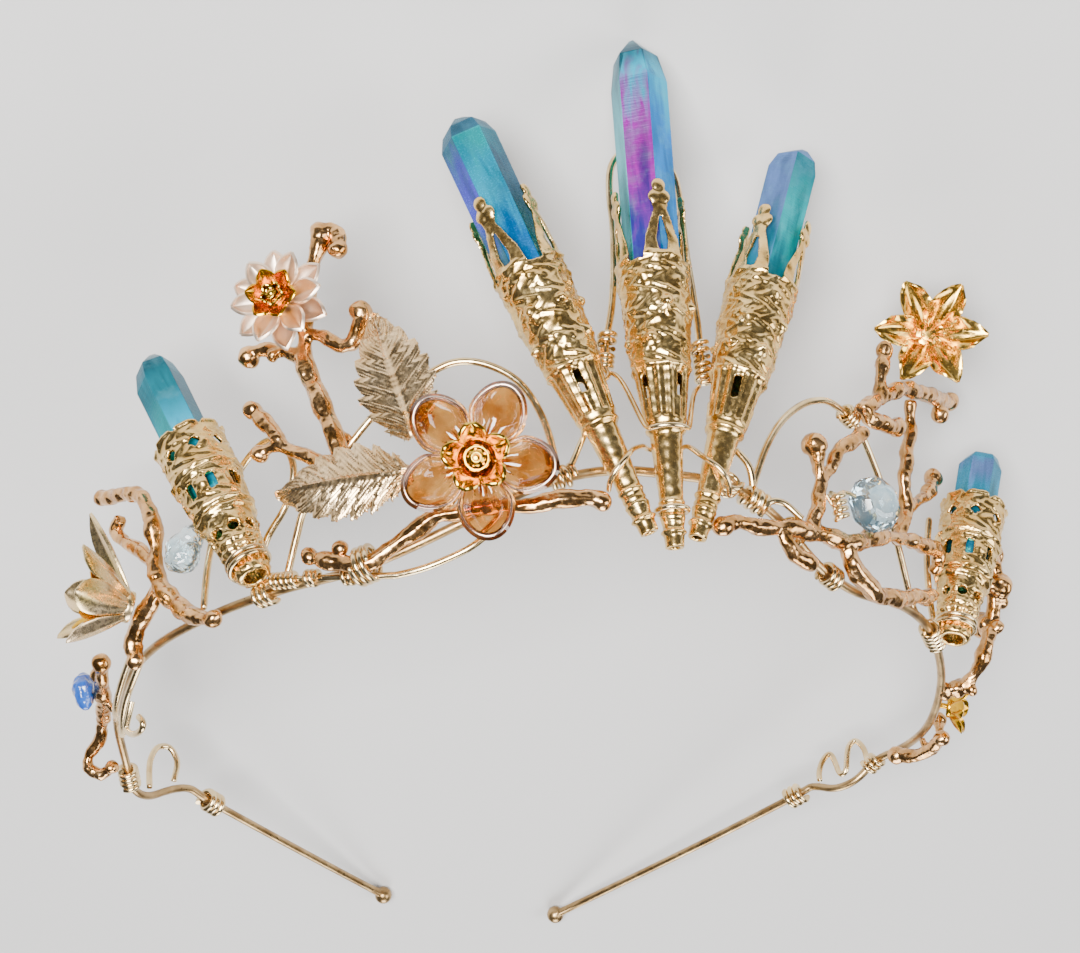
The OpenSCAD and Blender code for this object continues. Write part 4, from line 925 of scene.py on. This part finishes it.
lily = ring_of(petal(7.9, 5.0, POINTED, 1.5, -1.2, 0.4, ribs=3, rib_depth=0.14, wave=0.6), 6, 1.5, 32, 23)
seat_flower(lily + [disc(4, 1.2), back_post(2.2)], "lily_ring", LILY, 0, lily_gold, "lily_gold",
            "lily_petals")
stamens = [disc(2.4, 0.4)]
for k in range(5):
    lean = Matrix.Rotation(math.radians(72 * k), 4, "Z") @ Matrix.Translation((0.85, 0, 0))
    lean = lean @ Matrix.Rotation(math.radians(16), 4, "Y")
    bpy.ops.mesh.primitive_cone_add(vertices=10, radius1=0.28, radius2=0.18, depth=3.2, location=(0, 0, 1.6))
    stalk = bpy.context.object
    bpy.ops.object.transform_apply(location=True, rotation=True, scale=True)
    stalk.data.transform(lean)
    tip = knob((0, 0, 3.2), 0.9, (0.8, 0.8, 1))
    tip.data.transform(lean)
    stamens += [stalk, tip]
seat_flower(stamens, "lily_stamen_group", LILY, 1.1, lily_gold, "lily_gold", "lily_stamens")

# degrees round, length, width, degrees lifted
LOTUS_PETALS = [(0, 9.5, 4.8, 42), (60, 10, 5, 48), (120, 10.5, 5.2, 50), (180, 15, 5.2, 30),
                (240, 10.5, 5.2, 50), (300, 10, 5, 48)]
lotus = []
for degrees, length, width, lifted in LOTUS_PETALS:
    outline = POINTED if length > 12 else STRAP
    one_petal = petal(length, width, outline, 1.1, 1.2, 0.45, ribs=3, rib_depth=0.07)
    lotus += ring_of(one_petal, 1, 1.9, lifted, degrees)
lotus_gold = metal("lotus_petal", (0.96, 0.72, 0.44), (0.74, 0.56, 0.22), rough=(0.2, 0.34), patch=160,
                   crevice_shade=0.4)
seat_flower(lotus + [disc(4.8, 1.4)], "lotus_outer_ring", LOTUS, 0, lotus_gold, "petal_gold",
            "lotus_outer_petals")
inner = ring_of(petal(6.6, 3.6, POINTED, 0.6, 0.4, 0.35), 5, 1.3, 52, 30)
seat_flower(inner + [disc(3.6, 0.9)], "lotus_inner_ring", LOTUS, 1.35, amber_foil, "amber_foil",
            "lotus_inner_petals")
seat_flower(rosebud(2.6), "lotus_bud", LOTUS, 3, rosette_gold, "rosette_gold", "lotus_centre")
blossom = ring_of(petal(4, 2.9, STRAP, 0.6, 0.5, 0.4, ribs=2, rib_depth=0.1), 6, 1.4, 34)
seat_flower(blossom + [disc(3.8, 1), knob((0, 0, 1), 2), back_post(1.9)], "rear_blossom", BLOSSOM, 0,
            amber_foil, "amber_foil", "small_blossom")

# The glass flower: five spoon-shaped petals of moulded amber glass, fluted from the root, with silvered
# rims. A small gilt cup of five petals and a polished dome sit in the middle.
GLASS_PETAL_L = 9.6
GLASS_PETAL_W = 6.9
GLASS_T = 1.3
GLASS_CUP = 1.6
GLASS_LIFT = 0.3
GLASS_FLUTES = 20
GLASS_FLUTE_RISE = 0.24
GLASS_STEPS = 72
GLASS_STEPS_IN = 12
RIM_T = 0.32
RIM_AS_DRAWN = 0.01
# count, distance from the hub, degrees lifted, degrees turned
GLASS_RING = (5, 1.5, 12, 8)


def amber_glass_material():
    """Moulded amber glass: warm and clear, with darker clouds."""
    material, tree, shader, where = new_material("amber_glass")
    cloud = noise(tree, where.outputs["Object"], 300, 4)
    tint = two_tones(tree, cloud, 0.36, (0.50, 0.15, 0.012), 0.64, (0.90, 0.46, 0.12))
    tree.links.new(tint, shader.inputs["Base Color"])
    set_sockets(shader, Transmission_Weight=0.96, Roughness=0.04, IOR=1.52, Coat_Weight=0.8,
                Coat_Roughness=0.03)
    return material


def spoon(x):
    """A glass petal's width at x, from -1 at its root to 1 at its tip: narrow at the root."""
    return 1 - 0.55 * max(0, -x) ** 1.2


def glass_petal():
    """One cupped glass petal along x, with flutes that fan out from its root."""
    bpy.ops.mesh.primitive_circle_add(vertices=GLASS_STEPS, radius=1, fill_type="NOTHING")
    blade = bpy.context.object
    bpy.ops.object.mode_set(mode="EDIT")
    bpy.ops.mesh.select_all(action="SELECT")
    for left in range(GLASS_STEPS_IN, 0, -1):
        bpy.ops.mesh.extrude_edges_move()
        bpy.ops.transform.resize(value=((left - 0.6) / (left + 0.4),) * 3)
    bpy.ops.mesh.edge_face_add()
    bpy.ops.object.mode_set(mode="OBJECT")
    for v in blade.data.vertices:
        r = min(1, math.hypot(v.co.x, v.co.y))
        x = v.co.x
        fan = math.atan2(v.co.y * spoon(x), x + 1.3)
        flute = math.cos(GLASS_FLUTES * fan) * min(1, r * 2) * max(0, 1 - (x + 1) / 1.3) ** 0.6
        v.co = Vector((GLASS_PETAL_L * (x + 1) / 2, GLASS_PETAL_W / 2 * v.co.y * spoon(x),
                       GLASS_CUP * r ** 2.4 + GLASS_LIFT * x + GLASS_FLUTE_RISE * flute))
    apply(blade, "SOLIDIFY", thickness=GLASS_T, offset=0)
    return blade


def petal_rim():
    """The silvered bead along a glass petal's edge."""
    bpy.ops.mesh.primitive_torus_add(major_radius=1, minor_radius=RIM_AS_DRAWN, major_segments=GLASS_STEPS,
                                     minor_segments=10)
    rim = bpy.context.object
    thicker = RIM_T / 2 / RIM_AS_DRAWN
    for v in rim.data.vertices:
        a = math.atan2(v.co.y, v.co.x)
        x = math.cos(a)
        edge = Vector((GLASS_PETAL_L * (x + 1) / 2, GLASS_PETAL_W / 2 * math.sin(a) * spoon(x)))
        edge += Vector((math.cos(a), math.sin(a))) * (math.hypot(v.co.x, v.co.y) - 1) * thicker
        v.co = Vector((edge.x, edge.y, GLASS_CUP + GLASS_LIFT * x + GLASS_T * 0.4 + v.co.z * thicker))
    return rim


amber_glass = amber_glass_material()
silvered = metal("silvered_rim", (0.98, 0.76, 0.64), (0.72, 0.46, 0.34), rough=(0.10, 0.22), crevice_shade=0.6)
seat_flower(ring_of(glass_petal(), *GLASS_RING), "glass_petal_ring", GLASS, 0, amber_glass, "amber_glass",
            "glass_petals")
rims = ring_of(petal_rim(), *GLASS_RING) + [disc(4.4, 1.6, 0.2), back_post(5.6)]
seat_flower(rims, "glass_petal_rims", GLASS, 0, silvered, "petal_gold")
cup = ring_of(petal(4.6, 3.6, ROUND, 0.9, 0.3, 0.45), 5, 1.2, 38, 44)
seat_flower(cup + [disc(3.6, 0.8)], "glass_flower_gilt_cup", GLASS, 1.7, rosette_gold, "rosette_gold",
            "glass_flower_cup")
seat_flower(dome(3.6), "glass_flower_dome", GLASS, 3.6, rosette_gold, "rosette_gold", "glass_flower_centre")

# The small stones: a clear tumbled chip, a pale cut stone wired before its wound post, and a milky opal
# chip. Each is held by the wire or the twig beside it.
CHIP_VOXEL = 0.18 * MM


def stone_material(name, light, dark, clear, rough):
    """A clear or milky stone with faint clouds in it."""
    material, tree, shader, where = new_material(name)
    tint = two_tones(tree, noise(tree, where.outputs["Object"], 420, 5), 0.38, dark, 0.62, light)
    tree.links.new(tint, shader.inputs["Base Color"])
    set_sockets(shader, Transmission_Weight=clear, Roughness=rough, IOR=1.54, Coat_Weight=0.5)
    return material


# node, light colour, dark colour, clearness, roughness, slot
CHIPS = [("clear_stone", (0.84, 0.95, 0.97), (0.60, 0.80, 0.86), 0.97, 0.02, "clear_chip"),
         ("opal_stone", (0.02, 0.10, 0.42), (0.01, 0.05, 0.28), 0.0, 0.14, "opal_chip")]
dents = bpy.data.textures.new("chip_dents", "CLOUDS")
dents.noise_scale = 2.4 * MM
for node, light, dark, clear, rough, slot in CHIPS:
    chip = copy_of(node, node + "_chip")
    remesh(chip, CHIP_VOXEL)
    apply(chip, "SMOOTH", factor=0.5, iterations=10)
    apply(chip, "DISPLACE", texture=dents, texture_coords="LOCAL", strength=0.9 * MM, mid_level=0.5)
    smooth(chip, 60)
    finish_piece(chip, stone_material(node + "_quartz", light, dark, clear, rough), slot, node)
cut = copy_of("faceted_stone", "faceted_stone_cut")
select_only(cut)
bpy.ops.object.mode_set(mode="EDIT")
bpy.ops.mesh.select_all(action="SELECT")
bpy.ops.mesh.dissolve_limited(angle_limit=math.radians(1))
bpy.ops.object.mode_set(mode="OBJECT")
apply(cut, "BEVEL", width=0.35 * MM, segments=1, limit_method="ANGLE", angle_limit=math.radians(15))
smooth(cut, 5)
finish_piece(cut, stone_material("pale_cut_quartz", (0.78, 0.92, 0.96), (0.36, 0.58, 0.70), 0.94, 0.02),
             "clear_chip", "faceted_stone")

size = {"cad": [list(corner) for corner in cad_box], "visual": [list(corner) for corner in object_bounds()]}
